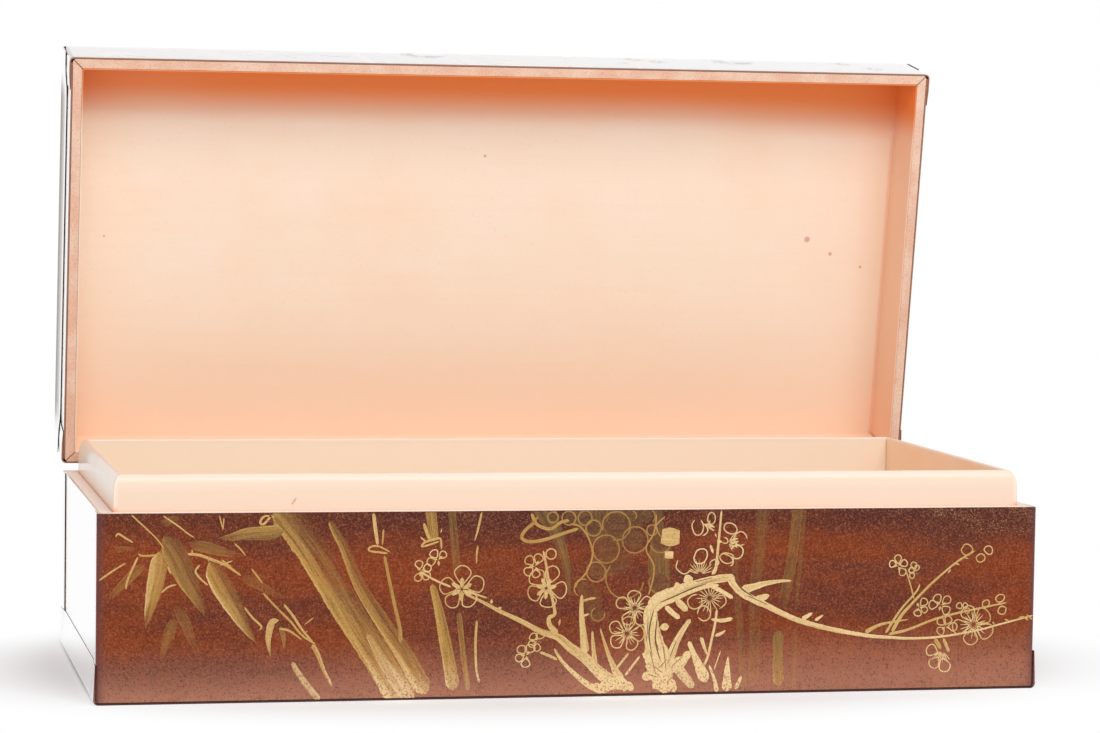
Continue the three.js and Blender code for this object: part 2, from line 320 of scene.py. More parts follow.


# %% [markdown]
# ## Lacquered leather
#
# The leather was brushed with brown lacquer over and over, so three things show at once. Zones of
# orange brown and purple brown drift over the face where the coats are thinner or thicker. A fine
# mesh of lines, level and upright, is the grain of the hide pressed against the board. Gold dust
# from the painting is scattered near the lower edge and one upper corner. Towards the foot the
# lacquer turns a paler mauve, partly from wear and partly as painted light from the pale floor.
#
# The look is a function that gives colours and heights, not a finished material, because the
# gilding needs the same lacquer to show through where its paint has worn away.

# %% Lacquer
LACQUER_PURPLE = paint_colour(98, 44, 28)
LACQUER_ORANGE = paint_colour(134, 56, 14)
LACQUER_MAUVE = paint_colour(188, 130, 106)
LACQUER_LIGHT = paint_colour(164, 98, 68)
LACQUER_DARK = paint_colour(58, 26, 24)
LACQUER_EDGE_AND_SHADOW = paint_colour(40, 22, 26)
LACQUER_CORNER = paint_colour(98, 62, 64)
LACQUER_CUT = paint_colour(206, 152, 124)
GOLD_DUST = paint_colour(204, 160, 112)
COAT = {"Coat Weight": 1.0, "Coat Roughness": 0.05, "Coat IOR": 1.2, "Specular IOR Level": 0.05}
POLISH = 0.97
base_height = base_tray.height
half_length = base_tray.half_length
half_depth = base_tray.half_depth
lid_rim = lid_top - lid_tray.height

# Where the lacquer changes on the shut box, each place with how softly it does.
WARM_FROM = (18 * MM, 10 * MM)
WARM_TO = (0.86 * base_height, 12 * MM)
FOOT = (7 * MM, 7 * MM)
WORN_AND_LIT_FOOT = 14 * MM
WORN_AND_LIT_FOOT_MORE = 5 * MM
WORN_AND_LIT_FOOT_SOFTNESS = 15 * MM
DARK_TOP = (base_height - 9 * MM, 9 * MM)
DUSTY_RIGHT = (0.74 * half_length, 0.2 * half_length)
DUSTY_UP = (0.82 * base_height, 9 * MM)
DUSTY_RIM = (base_height - 3 * MM, 3 * MM)
FRONT_FACE = (half_depth - 1 * MM, 0.1 * MM)
CORNER_BAND = (half_length - 2.5 * MM, 2.5 * MM)
BOTTOM_EDGE_AND_SHADOW = (1.2 * MM, 0.2 * MM)
RIM_FACE = (0.1 * MM, 0.04 * MM)
CUT_FACE = (0.3 * MM, 0.06 * MM)
LACQUER_RELIEF = 0.12 * MM


def lacquer_look(finish):
    """Colour, roughness and height of the lacquered leather."""
    place = finish.place
    x, y, z = finish.axes(place)
    drift = finish.noise(finish.stretched(place, (0.4, 0.4, 1.7)), 20, 5, 0.6)
    middle = z.above(*WARM_FROM) * z.below(*WARM_TO)
    left_end = x.below(-0.62 * half_length, 0.3 * half_length)
    warmth = drift - 0.06 + middle * 0.1 + left_end * middle * 0.03
    colour = finish.mix(warmth.above(0.5, 0.13), LACQUER_PURPLE, LACQUER_ORANGE)
    right_end = x.above(0, half_length)
    # Paler mauve towards the foot: partly wear, partly painted light from the pale floor.
    worn_and_lit_foot = z.below(WORN_AND_LIT_FOOT + WORN_AND_LIT_FOOT_MORE * right_end, WORN_AND_LIT_FOOT_SOFTNESS)
    foot = z.below(*FOOT)
    wear_and_floor_light = worn_and_lit_foot * (0.36 + 0.5 * drift) + foot * (0.3 - 0.2 * right_end)
    colour = finish.mix(wear_and_floor_light, colour, LACQUER_MAUVE)
    colour = finish.mix(z.above(*DARK_TOP) * 0.58, colour, LACQUER_DARK)

    level_grain = finish.noise(finish.stretched(place, (1, 1, 16)), 130, 3, 0.7)
    upright_grain = finish.noise(finish.stretched(place, (12, 12, 1)), 130, 3, 0.7)
    blotches = finish.noise(place, 150, 5, 0.65)
    grain = level_grain * 0.4 + upright_grain * 0.3 + blotches * 0.3
    mottle = finish.noise(place, 820, 3, 0.6)
    coarse = grain * 0.65 + mottle * 0.35
    colour = finish.mix((0.5 - coarse) * 3.6, colour, LACQUER_DARK)
    colour = finish.mix((coarse - 0.52) * 3.4, colour, LACQUER_LIGHT)
    flecks = finish.noise(place, 1350, 3, 0.65)
    colour = finish.mix((flecks - 0.52) * (4.2 + 2 * worn_and_lit_foot), colour, LACQUER_LIGHT)
    colour = finish.mix((0.46 - flecks) * 4.5, colour, LACQUER_DARK)

    specks = finish.noise(place, 2300, 2, 0.5)
    drifted = finish.noise(place, 60, 4, 0.7).above(0.46, 0.12)
    corner = x.above(*DUSTY_RIGHT) * z.above(*DUSTY_UP)
    dusty = (corner + foot * 0.7 + z.above(*DUSTY_RIM) * 0.6).clamped() * drifted
    dust = (specks - 0.74 + 0.17 * dusty) * 14
    colour = finish.mix(dust.clamped() * 0.6, colour, GOLD_DUST)

    front = y.size().above(*FRONT_FACE)
    corners = x.size().above(*CORNER_BAND) * front * 0.65
    colour = finish.mix(corners, colour, LACQUER_CORNER)
    # A near-black line along the bottom: the leather's edge and a painted contact shadow.
    colour = finish.mix(z.below(*BOTTOM_EDGE_AND_SHADOW) * 0.85, colour, LACQUER_EDGE_AND_SHADOW)
    in_base_rim = (z - base_height).size().below(*RIM_FACE)
    in_lid_rim = (z - lid_rim).size().below(*RIM_FACE) * 0.5
    from_side = (half_depth - y.size()).at_most(half_length - x.size())
    cut_edge = in_base_rim * from_side.above(*CUT_FACE) + in_lid_rim
    colour = finish.mix(cut_edge, colour, LACQUER_CUT)
    roughness = 0.3 + 0.2 * blotches + 0.1 * worn_and_lit_foot
    height = grain * 0.7 + specks * 0.3
    return colour, roughness, height


def lacquer_finish(body):
    finish = Finish(f"lacquered_leather_{body}", body)
    colour, roughness, height = lacquer_look(finish)
    return finish.surface({
        "Base Color": colour,
        "Roughness": roughness,
        "Normal": finish.bumped(height, LACQUER_RELIEF),
        **COAT,
    }, POLISH)


# %% [markdown]
# ## Lining leather, suede edges, board and brass
#
# The lining is thin pale sheepskin, dyed peach, with soft blotches, a pore here and there and a
# few old stains. The rims of the boards are faced with the same skin, flesh side out, which reads
# as speckled suede. Bare board shows only in the gaps of the mitres, and the brass of the hinges
# has gone brown in its corners.

# %% Pale leather
LINING = paint_colour(251, 231, 211)
LINING_WARM = paint_colour(251, 216, 188)
LINING_PALE_AND_GLARE = paint_colour(252, 234, 217)
LINING_BASE_SHADED = paint_colour(241, 213, 190)
LINING_INSIDE = paint_colour(253, 235, 213)
LINING_CREST_HIGHLIGHT = paint_colour(246, 226, 210)
LINING_DEEP = paint_colour(253, 190, 138)
LINING_SHADE = paint_colour(242, 143, 74)
LINING_STAIN = paint_colour(196, 118, 72)
SUEDE = paint_colour(233, 186, 160)
SUEDE_DARK = paint_colour(200, 144, 118)
SUEDE_PALE = paint_colour(240, 206, 184)
SUEDE_LIT = paint_colour(250, 232, 220)
# The base's rims take the lit colour all over: a painted sheen, paler than the lid's suede.
SUEDE_LOOK = {"base": (SUEDE_LIT, SUEDE_LIT, 0.2), "lid": (SUEDE, SUEDE_PALE, 0.5)}
MITRE_REACH = {"base": 13 * MM, "lid": 6.4 * MM}
MITRE_SOFTNESS = 0.4 * MM
LINING_SEAM = 0.6 * MM
SUEDE_SEAM = 0.4 * MM
LINING_RELIEF = 0.1 * MM
BOARD_RELIEF = 0.2 * MM
lid_lining_height = lid_top - measured("lid_panel_lining", lid_place)[1].z
lip_face = measured("lip_front_leather")[0].y
lip_crest = measured("lip_front_leather")[1].z

# Where the lining changes, each place with how softly it does.
INSIDE_LIP = (10.8 * MM, 0.2 * MM)
BASE_RIGHT_WALL = (half_length - 12 * MM, 0.5 * MM)
LIP_CREST_HIGHLIGHT = (lip_crest - 1.6 * MM, 1.6 * MM)
LIP_END = (half_length - 9 * MM, 1 * MM)
LIP_FOOT_SHADE = (1.4 * MM, 1.4 * MM)
NEAR_HINGES = (45 * MM, 55 * MM)
LID_RIGHT = (0.75 * half_length, 0.4 * half_length)
LID_FROM_LEFT = (-0.7 * half_length, 25 * MM)
LID_RIGHT_WALL_SHADE = (half_length - 8 * MM, 0.5 * MM)
SHADE_REACH = 26 * MM
SHADE_REACH_MORE = 5 * MM


def lid_panel_spot(from_left, from_rear):
    """A place on the lid's panel, measured in mm from its left and rear edges."""
    return (from_left * MM - half_length, half_depth - from_rear * MM, lid_lining_height)


def lip_front_spot(from_left, up):
    """A place on the front of the lip, measured in mm from the box's left end and the rim."""
    return (from_left * MM - half_length, lip_face, base_height + up * MM)


WAX = {
    "base": {"Coat Weight": 0.8, "Coat Roughness": 0.16, "Coat IOR": 1.35},
    "lid": {"Coat Weight": 0.15, "Coat Roughness": 0.3, "Coat IOR": 1.25},
}
STAINS = {
    "base": [
        (lip_front_spot(85.6, 5.2), 0.4 * MM),
        (lip_front_spot(85, 4.3), 0.6 * MM),
        (lip_front_spot(84.3, 3.2), 0.45 * MM),
    ],
    "lid": [
        (lid_panel_spot(205.3, 146.8), 0.7 * MM),
        (lid_panel_spot(20.5, 105.1), 0.5 * MM),
        (lid_panel_spot(372.1, 106.7), 1.4 * MM),
        (lid_panel_spot(384.7, 99.4), 0.9 * MM),
        (lid_panel_spot(400.9, 92.8), 0.7 * MM),
    ],
}


def mitre_line(finish, tray, half_width):
    """1 along the mitres of the rim and the lip, and 0 away from them and on the panels."""
    x, y = finish.axes(finish.place)[:2]
    along = tray.board_half_length - x.size()
    across = tray.board_half_depth - y.size()
    on_line = (along - across).size().below(half_width, half_width)
    return on_line * across.below(MITRE_REACH[tray.body], MITRE_SOFTNESS)


def lining_look(finish):
    place = finish.place
    clouds = finish.noise(place, 14, 3)
    colour = finish.mix(clouds.above(0.55, 0.2) * 0.4, LINING, LINING_WARM)
    light_clouds = finish.noise(finish.stretched(place, (1, 1.3, 1.3)), 31, 4)
    colour = finish.mix(light_clouds.above(0.56, 0.16) * 0.5, colour, LINING_PALE_AND_GLARE)
    streaks = finish.noise(finish.stretched(place, (0.25, 5, 5)), 60, 3)
    colour = finish.mix(streaks.above(0.6, 0.14) * 0.14, colour, LINING_WARM)
    pores = finish.noise(place, 1100, 2, 0.6)
    colour = finish.mix(pores.above(0.68, 0.05) * 0.15, colour, LINING_STAIN)
    return colour, pores


def base_lining(finish, colour):
    """Colours of the lip: a painted highlight on its crest, a painted reflection on the outside of
    its ends with painted shade at their foot, and warm inside on the right.
    """
    x, y, z = finish.axes(finish.place)
    # The lip's lining is a darker copy of the lid's: painted shade, as the lip faces the lamp.
    colour = finish.mix(0.9, colour, LINING_BASE_SHADED)
    inside = (half_depth - y.size()).at_most(half_length - x.size()).above(*INSIDE_LIP)
    colour = finish.mix(inside * 0.8, colour, LINING_INSIDE)
    colour = finish.mix(inside * x.above(*BASE_RIGHT_WALL) * 0.85, colour, LINING_DEEP)
    # A painted highlight along the lip's crest.
    colour = finish.mix(z.above(*LIP_CREST_HIGHLIGHT) * 0.8, colour, LINING_CREST_HIGHLIGHT)
    # A painted reflection, pale, on the outside of the lip's two ends.
    lip_end = x.size().above(*LIP_END) * (1 - inside)
    colour = finish.mix(lip_end * 0.6, colour, LINING_PALE_AND_GLARE)
    # Painted shade where the ends of the lip meet the rim.
    foot = (z - base_height).below(*LIP_FOOT_SHADE)
    return finish.mix(lip_end * foot * 0.6, colour, LINING_SHADE)


def lid_lining(finish, colour):
    """Colours in the lid: warm near the hinges and on the right, with painted shade under the front
    wall and a little on the right wall.
    """
    x, y = finish.axes(finish.place)[:2]
    right = x.above(*LID_RIGHT)
    near_hinges = (half_depth - y).below(*NEAR_HINGES) * 0.85
    colour = finish.mix(near_hinges.at_least(right * 0.35), colour, LINING_WARM)
    # Painted shade under the front wall, and on the right wall.
    from_front = (y + half_depth) / (SHADE_REACH + SHADE_REACH_MORE * right)
    shaded = from_front.below(1, 0.42) * (0.92 + 0.06 * x.above(*LID_FROM_LEFT))
    right_wall_shade = x.above(*LID_RIGHT_WALL_SHADE) * 0.3
    return finish.mix(shaded.at_least(right_wall_shade), colour, LINING_SHADE)


LINING_ZONES = {"base": base_lining, "lid": lid_lining}


def lining_finish(body):
    finish = Finish(f"lining_leather_{body}", body)
    colour, pores = lining_look(finish)
    seam = mitre_line(finish, TRAYS[body], LINING_SEAM)
    colour = LINING_ZONES[body](finish, finish.mix(seam * 0.7, colour, LINING_STAIN))
    for centre, radius in STAINS[body]:
        colour = finish.mix(finish.near(centre, radius, 0.5 * radius) * 0.6, colour, LINING_STAIN)
    creases = finish.noise(finish.place, 260, 4, 0.6)
    return finish.surface({
        "Base Color": colour,
        "Roughness": 0.5 + 0.25 * creases,
        "Normal": finish.bumped(creases * 0.7 + pores * 0.3, LINING_RELIEF),
        "Specular IOR Level": 0.2,
        **WAX[body],
    })


def suede_finish(body):
    finish = Finish(f"suede_edge_{body}", body)
    specks = finish.noise(finish.place, 1250, 3, 0.7)
    patches = finish.noise(finish.place, 75, 4)
    plain, pale, speckled = SUEDE_LOOK[body]
    colour = finish.mix(patches.above(0.5, 0.15), plain, pale)
    colour = finish.mix(specks.above(0.58, 0.08) * speckled, colour, SUEDE_DARK)
    colour = finish.mix(specks.below(0.4, 0.05) * 0.4, colour, pale)
    colour = finish.mix(mitre_line(finish, TRAYS[body], SUEDE_SEAM), colour, SUEDE_DARK)
    return finish.surface({
        "Base Color": colour,
        "Roughness": 0.8 + 0.15 * patches,
        "Normal": finish.bumped(specks, BOARD_RELIEF),
        "Specular IOR Level": 0.25,
    })


# %% Board and brass
BOARD = paint_colour(206, 170, 128)
BOARD_DARK = paint_colour(150, 108, 70)
BRASS = paint_colour(196, 158, 92)
BRASS_BROWN = paint_colour(112, 76, 42)
BRASS_RELIEF = 0.06 * MM


def board_finish(body):
    finish = Finish(f"board_wood_{body}", body)
    rings = finish.noise(finish.stretched(finish.place, (0.35, 4, 4)), 60, 4, 0.6)
    fibres = finish.noise(finish.stretched(finish.place, (0.5, 12, 12)), 160, 3, 0.6)
    colour = finish.mix(rings.above(0.5, 0.12), BOARD, BOARD_DARK)
    colour = finish.mix((fibres - 0.45) * 1.5, colour, BOARD_DARK)
    return finish.surface({
        "Base Color": colour,
        "Roughness": 0.7 + 0.2 * fibres,
        "Normal": finish.bumped(fibres, BOARD_RELIEF),
    })


def brass_finish(body):
    finish = Finish(f"hinge_brass_{body}", body)
    patina = finish.noise(finish.place, 160, 5, 0.65)
    scratches = finish.noise(finish.stretched(finish.place, (14, 1, 1)), 320, 3, 0.6)
    colour = finish.mix(patina.above(0.5, 0.14), BRASS, BRASS_BROWN)
    return finish.surface({
        "Base Color": colour,
        "Metallic": 1.0 - 0.35 * patina.above(0.55, 0.1),
        "Roughness": 0.28 + 0.3 * patina + 0.1 * scratches,
        "Normal": finish.bumped(scratches * 0.4 + patina * 0.6, BRASS_RELIEF),
    })


lacquer = {body: lacquer_finish(body) for body in TRAYS}
lining = {body: lining_finish(body) for body in TRAYS}
suede = {body: suede_finish(body) for body in TRAYS}
board = {body: board_finish(body) for body in TRAYS}
brass = {body: brass_finish(body) for body in TRAYS}
print("finishes:", len(bpy.data.materials))

# %% [markdown]
# ## The frame's own pieces
#
# Every node of the frame gets its finish first. Most are hidden inside the box, such as the
# bottom board, and stay as they are. The ones that show are replaced further down by pieces with
# softer edges, and each keeps the place and size of the node that it stands for.

# %% Finishes on the frame's nodes
SLOT_FINISH = {
    "lacquered_leather": lacquer,
    "lining_leather": lining,
    "board_wood": board,
    "hinge_brass": brass,
}


def slot_of(name):
    """The record's material slot of a node, from the name that the node was given."""
    if "hinge" in name:
        return "hinge_brass"
    if name.endswith("_board"):
        return "board_wood"
    if name.endswith("_cover"):
        return "lacquered_leather"
    return "lining_leather"


def body_of(name):
    bodies = frame["record"]["behaviour"]["bodies"]
    return next(body for body, nodes in bodies.items() if name in nodes)


def give_finish(mesh, material):
    mesh.materials.clear()
    mesh.materials.append(material)


for name, node in frame["nodes"].items():
    give_finish(node.data, SLOT_FINISH[slot_of(name)][body_of(name)])
print("dressed", len(frame["nodes"]), "nodes")

# %% [markdown]
# ## Plain meshes from helpers
#
# A piece often starts as a helper: a path or a flat shape with modifiers on it, lying square in
# its tray. Two functions turn it into the finished piece. soften() rounds its edges with a Bevel
# modifier. settled() evaluates the modifiers, carries the result to where the tray stands, turns
# its faces outwards, and deletes the helper. What is left is a plain mesh whose object sits at
# the origin, which is what the frame expects.


# %% Helpers and finished pieces
SAME_POINT = 0.0005 * MM
CREASE = math.radians(38)
BEVEL_FROM = math.radians(40)
stands_proud = []


def linked(name, data):
    made = bpy.data.objects.new(name, data)
    bpy.context.collection.objects.link(made)
    return made


def helper_mesh(name, vertices, edges, faces):
    mesh = bpy.data.meshes.new(name)
    mesh.from_pydata([tuple(vertex) for vertex in vertices], edges, faces)
    return linked(name, mesh)


def thicken(helper, thickness, offset=1.0):
    solid = helper.modifiers.new("thickness", "SOLIDIFY")
    solid.thickness = thickness
    solid.offset = offset
    solid.use_even_offset = True


def soften(helper, width, segments=2):
    bevel = helper.modifiers.new("soft_edges", "BEVEL")
    bevel.width = width
    bevel.segments = segments
    bevel.limit_method = "ANGLE"
    bevel.angle_limit = BEVEL_FROM


@contextmanager
def reworked(mesh):
    """Opens a mesh for BMesh operations, and writes it back when they are done."""
    working = bmesh.new()
    working.from_mesh(mesh)
    yield working
    working.to_mesh(mesh)
    working.free()


def tidy(mesh, merge=True):
    with reworked(mesh) as working:
        if merge:
            bmesh.ops.remove_doubles(working, verts=working.verts, dist=SAME_POINT)
        bmesh.ops.recalc_face_normals(working, faces=working.faces)
    mesh.shade_smooth()
    mesh.set_sharp_from_angle(angle=CREASE)


def evaluated_mesh(helper):
    """The mesh that the helper's modifiers give. The helper itself is deleted."""
    evaluated = helper.evaluated_get(bpy.context.evaluated_depsgraph_get())
    mesh = bpy.data.meshes.new_from_object(evaluated)
    bpy.data.objects.remove(helper)
    return mesh


def settled(helper, name, placing, material, worked=None):
    mesh = evaluated_mesh(helper)
    if worked:
        for vertex in mesh.vertices:
            vertex.co = worked(vertex.co)
    mesh.transform(placing)
    tidy(mesh)
    give_finish(mesh, material)
    smoothed = linked(name, mesh)
    smoothed.modifiers.new("flat_faces_look_flat", "WEIGHTED_NORMAL").keep_sharp = True
    mesh = evaluated_mesh(smoothed)
    mesh.name = name
    return linked(name, mesh)


def stands_for(piece, body, slot, *nodes):
    """Says what a finished piece rides on and which nodes it replaces. The slot is not used."""
    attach(piece, body)
    if nodes:
        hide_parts(*nodes)
        corners = [Vector(corner) for corner in piece.bound_box]
        boxes = [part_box(node) for node in nodes]
        for axis in range(3):
            low = min(box[0][axis] for box in boxes) - min(corner[axis] for corner in corners)
            high = max(corner[axis] for corner in corners) - max(box[1][axis] for box in boxes)
            stands_proud.append((max(low, high), piece.name))
    return piece


def grid_faces(columns, rows, keep=None):
    """Quads over a grid whose points are listed column by column."""
    faces = []
    for column in range(columns - 1):
        for row in range(rows - 1):
            if keep is None or keep(column, row):
                first = column * rows + row
                faces.append((first, first + rows, first + rows + 1, first + 1))
    return faces


# %% [markdown]
# ## Geometry Nodes by recipe
#
# What repeats or follows a path is made by Geometry Nodes. A Recipe is one such tree, built here
# with named inputs. on() puts it on a helper as a modifier and sets the inputs by each socket's
# identifier. Every recipe ends by realising its instances and setting the material, because only
# real geometry survives in an exported model.


# %% Recipe
class Recipe(Nodes):
    """A Geometry Nodes tree with named inputs."""

    def __init__(self, name, inputs):
        super().__init__(bpy.data.node_groups.new(name, "GeometryNodeTree"))
        face = self.tree.interface
        face.new_socket("Result", in_out="OUTPUT", socket_type="NodeSocketGeometry")
        face.new_socket("Path", in_out="INPUT", socket_type="NodeSocketGeometry")
        for label, kind in inputs.items():
            face.new_socket(label, in_out="INPUT", socket_type=kind)
        self.start = self.tree.nodes.new("NodeGroupInput")

    def given(self, label):
        return Wire(self, self.start.outputs[label])

    def kept(self, geometry, name, value):
        """Stores a value on every point, for a material to read."""
        inputs = {"Geometry": geometry, "Name": name, "Value": value}
        return self.node("GeometryNodeStoreNamedAttribute", {"data_type": "FLOAT"}, inputs)

    def read(self, name):
        return self.node("GeometryNodeInputNamedAttribute", {"data_type": "FLOAT"}, {"Name": name})

    def ends(self, geometry, material):
        realised = self.node("GeometryNodeRealizeInstances", {}, {0: geometry})
        inputs = {"Geometry": realised, "Material": material}
        self.ends_in("NodeGroupOutput", self.node("GeometryNodeSetMaterial", {}, inputs))

    def on(self, helper, values):
        modifier = helper.modifiers.new(self.tree.name, "NODES")
        modifier.node_group = self.tree
        for item in self.tree.interface.items_tree:
            if item.in_out == "INPUT" and item.name in values:
                modifier[item.identifier] = values[item.name]


# %% [markdown]
# ## Bent sheets of leather
#
# Each tray is covered by five sheets. One lies under its panel and is folded up over the two
# ends. One goes round each long wall and a little way round the corners, and one more fills the
# middle of each end. A saddler would cut them flat and bend them. Here each follows a path that
# runs straight and then turns through the radius of the bend: the recipe sweeps an upright line
# along that path, lets the hand-cut edge waver by a tenth of a millimetre, and a Solidify
# modifier gives the leather its thickness inwards. A cut edge that lies on top of another sheet
# is pared thin, so that it hardly shows, and a fold is also pressed down between the wraps under
# it, so that it leaves no gap.

# %% Bent sheet recipe
GLUE_LINE = 0.1 * MM
LEATHER_FOLD = measured("base_bottom_cover")[1].x - half_length - GLUE_LINE
BEND_RADIUS = 2.3 * MM
BEND_STEPS = 8
SHEET_GAP = 6 * MM
WAVER = 0.12 * MM
EDGE_ROUNDING = 0.22 * MM
PARED_EDGE = 0.3 * MM
PARED_RUN = 6 * MM
PRESSED_RUN = 9 * MM

bent_sheet = Recipe("bent_sheet", {
    "Height": "NodeSocketFloat",
    "Rows": "NodeSocketInt",
    "Waver": "NodeSocketFloat",
    "Seed": "NodeSocketFloat",
    "Leather": "NodeSocketMaterial",
})
curve = bent_sheet.node("GeometryNodeMeshToCurve", {}, {"Mesh": bent_sheet.given("Path")})
curve = bent_sheet.node("GeometryNodeSetCurveNormal", {"mode": "Z_UP"}, {"Curve": curve})
line_end = bent_sheet.combined(0.0, -1 * bent_sheet.given("Height"), 0.0)
line = bent_sheet.node("GeometryNodeCurvePrimitiveLine", {}, {"End": line_end})
rows = {"Curve": line, "Count": bent_sheet.given("Rows")}
line = bent_sheet.node("GeometryNodeResampleCurve", {"mode": "COUNT"}, rows)
sheet = bent_sheet.node("GeometryNodeCurveToMesh", {}, {"Curve": curve, "Profile Curve": line})
point = bent_sheet.node("GeometryNodeInputPosition", {}, {})
seeded = bent_sheet.vector("ADD", point, bent_sheet.combined(bent_sheet.given("Seed"), 0.0, 0.0))
waver = (bent_sheet.noise(seeded, 60, 2) - 0.5) * bent_sheet.given("Waver") * 2
share_up = bent_sheet.axes(point)[2] / bent_sheet.given("Height")
offset = {"Geometry": sheet, "Offset": bent_sheet.combined(0.0, 0.0, waver * share_up)}
sheet = bent_sheet.node("GeometryNodeSetPosition", {}, offset)
bent_sheet.ends(sheet, bent_sheet.given("Leather"))


def straight(start, end, gap):
    """Points from the start up to, but not including, the end."""
    start = Vector(start)
    end = Vector(end)
    count = max(1, round((end - start).length / gap))
    return [start.lerp(end, index / count) for index in range(count)]


def bend(centre, radius, start_degrees, end_degrees, steps=BEND_STEPS):
    """Points round a bend, both ends included."""
    points = []
    for index in range(steps + 1):
        angle = math.radians(start_degrees + (end_degrees - start_degrees) * index / steps)
        points.append(Vector((centre[0] + radius * math.cos(angle),
                              centre[1] + radius * math.sin(angle))))
    return points


def bent_path(half_width, reach, radius):
    """A leg down, a bend, a long run along X, a bend and a leg up, seen end on."""
    left = radius - half_width
    right = half_width - radius
    return [
        *straight((-half_width, reach), (-half_width, radius), SHEET_GAP),
        *bend((left, radius), radius, 180, 270),
        *straight((left, 0), (right, 0), SHEET_GAP)[1:],
        *bend((right, radius), radius, 270, 360),
        *straight((half_width, radius), (half_width, reach), SHEET_GAP)[1:],
        Vector((half_width, reach)),
    ]


def clamped_share(value):
    return min(1, max(0, value))


def pared(path, thickness, start):
    """Thins the legs of a bent sheet towards their cut edges, as a leather worker's knife does."""
    inner = path[-1].x - thickness
    reach = path[-1].y

    def worked(place):
        share = clamped_share((place.y - start) / (reach - start))
        proud = abs(place.x) - inner
        if share == 0 or proud < 0:
            return place
        proud *= 1 - share * (1 - PARED_EDGE / thickness)
        return Vector((math.copysign(inner + proud, place.x), place.y, place.z))

    return worked


def pressed(tray, path):
    """Pares the legs of a fold, and presses them down on the end between the two wraps."""
    thinned = pared(path, LEATHER_FOLD, BEND_RADIUS)
    drop = tray.half_length + tray.side_face
    run = 2 * tray.fold_half_run

    def worked(place):
        past_wrap = (min(place.z, run - place.z) - tray.wrap_reach + PARED_RUN) / PRESSED_RUN
        down_leg = (place.y - BEND_RADIUS) / PARED_RUN
        sunk = drop * clamped_share(past_wrap) * clamped_share(down_leg)
        place = thinned(place)
        return Vector((math.copysign(abs(place.x) - sunk, place.x), place.y, place.z))

    return worked


def leather_sheet(tray, side, seed, path, height, thickness, placing, worked=None):
    """Sweeps one sheet along its path and lays it on its side of the tray."""
    name = f"{tray.body}_{side}_leather"
    points = [(point[0], point[1], 0) for point in path]
    edges = [(index, index + 1) for index in range(len(points) - 1)]
    helper = helper_mesh(name, points, edges, [])
    leather = lacquer[tray.body]
    bent_sheet.on(helper, {
        "Height": height,
        "Rows": 2 + round(height / SHEET_GAP),
        "Waver": WAVER,
        "Seed": float(seed),
        "Leather": leather,
    })
    thicken(helper, thickness)
    soften(helper, EDGE_ROUNDING)
    piece = settled(helper, name, tray.placing @ placing, leather, worked)
    return stands_for(piece, tray.body, "lacquered_leather", f"{tray.body}_{side}_cover")


# %% The ten covers
def cover_tray(tray):
    """One fold, two wraps and two ends."""
    fold_path = bent_path(tray.fold_half_length, tray.fold_reach, BEND_RADIUS)
    fold_place = Matrix.Translation((0, tray.fold_half_run, 0)) @ UPRIGHT
    sheets = [leather_sheet(tray, tray.panel, 1, fold_path, 2 * tray.fold_half_run,
                            LEATHER_FOLD, fold_place, pressed(tray, fold_path))]

    wrap_path = bent_path(tray.half_length, tray.wrap_reach, BEND_RADIUS)
    wrap_place = Matrix.Translation((0, -tray.half_depth, tray.foot))
    thinned = pared(wrap_path, tray.side_leather, tray.wrap_reach - PARED_RUN)
    end_run = straight((-tray.side_half_run, 0), (tray.side_half_run, 0), SHEET_GAP)
    end_path = [*end_run, Vector((tray.side_half_run, 0))]
    end_place = Matrix.Translation((0, tray.side_face, tray.foot))
    for seed, side, quarters, path, place, worked in (
        (2, tray.near, 0, wrap_path, wrap_place, thinned),
        (3, tray.far, 2, wrap_path, wrap_place, thinned),
        (4, "left", -1, end_path, end_place, None),
        (5, "right", 1, end_path, end_place, None),
    ):
        placing = Matrix.Rotation(quarters * math.pi / 2, 4, "Z") @ place
        sheets.append(leather_sheet(tray, side, seed, path, tray.height - tray.foot,
                                    tray.side_leather, placing, worked))
    return sheets


for tray in TRAYS.values():
    print(tray.body, "sheets of leather:", len(cover_tray(tray)))

# %% [markdown]
# ## Mitred walls
#
# The lip, and the linings on the lid's walls, are strips whose ends are cut at 45 degrees, as a
# joiner cuts a frame. One function makes them all: an outline of [inward, up] points is carried
# along the wall, and each point stops where its mitre does, so a point further in makes a shorter
# line. The lip's leather is soft, so its points also shift by a little smooth noise. At the seams
# the edges are rounded, and that small valley is what shows as the corner line.

# %% Mitred walls
MITRE_GAP = 0.2 * MM
WALL_GAP = 5 * MM
SOFTNESS = 0.16 * MM
SOFTNESS_RISE = 4 * MM
SOFTNESS_SCALE = 34


def mitred_helper(name, outline, half_run, soft_above):
    set_back = MITRE_GAP * math.sqrt(0.5)
    columns = 2 + round(2 * half_run / WALL_GAP)
    vertices = []
    for column in range(columns):
        share = 2 * column / (columns - 1) - 1
        for inward, up in outline:
            place = Vector((share * (half_run - inward - set_back), inward, up))
            if soft_above is not None:
                softness = clamped_share((up - soft_above) / SOFTNESS_RISE) * SOFTNESS
                drift = noise.noise_vector(place * SOFTNESS_SCALE + Vector((half_run, 0, 0)))
                place += Vector((0, drift.y, drift.z)) * softness
            vertices.append(place)
    rows = len(outline)
    faces = []
    for column in range(columns - 1):
        for row in range(rows):
            after = (row + 1) % rows
            first = column * rows
            faces.append((first + row, first + rows + row, first + rows + after, first + after))
    last = (columns - 1) * rows
    faces.append(tuple(range(rows)))
    faces.append(tuple(last + row for row in reversed(range(rows))))
    return helper_mesh(name, vertices, [], faces)


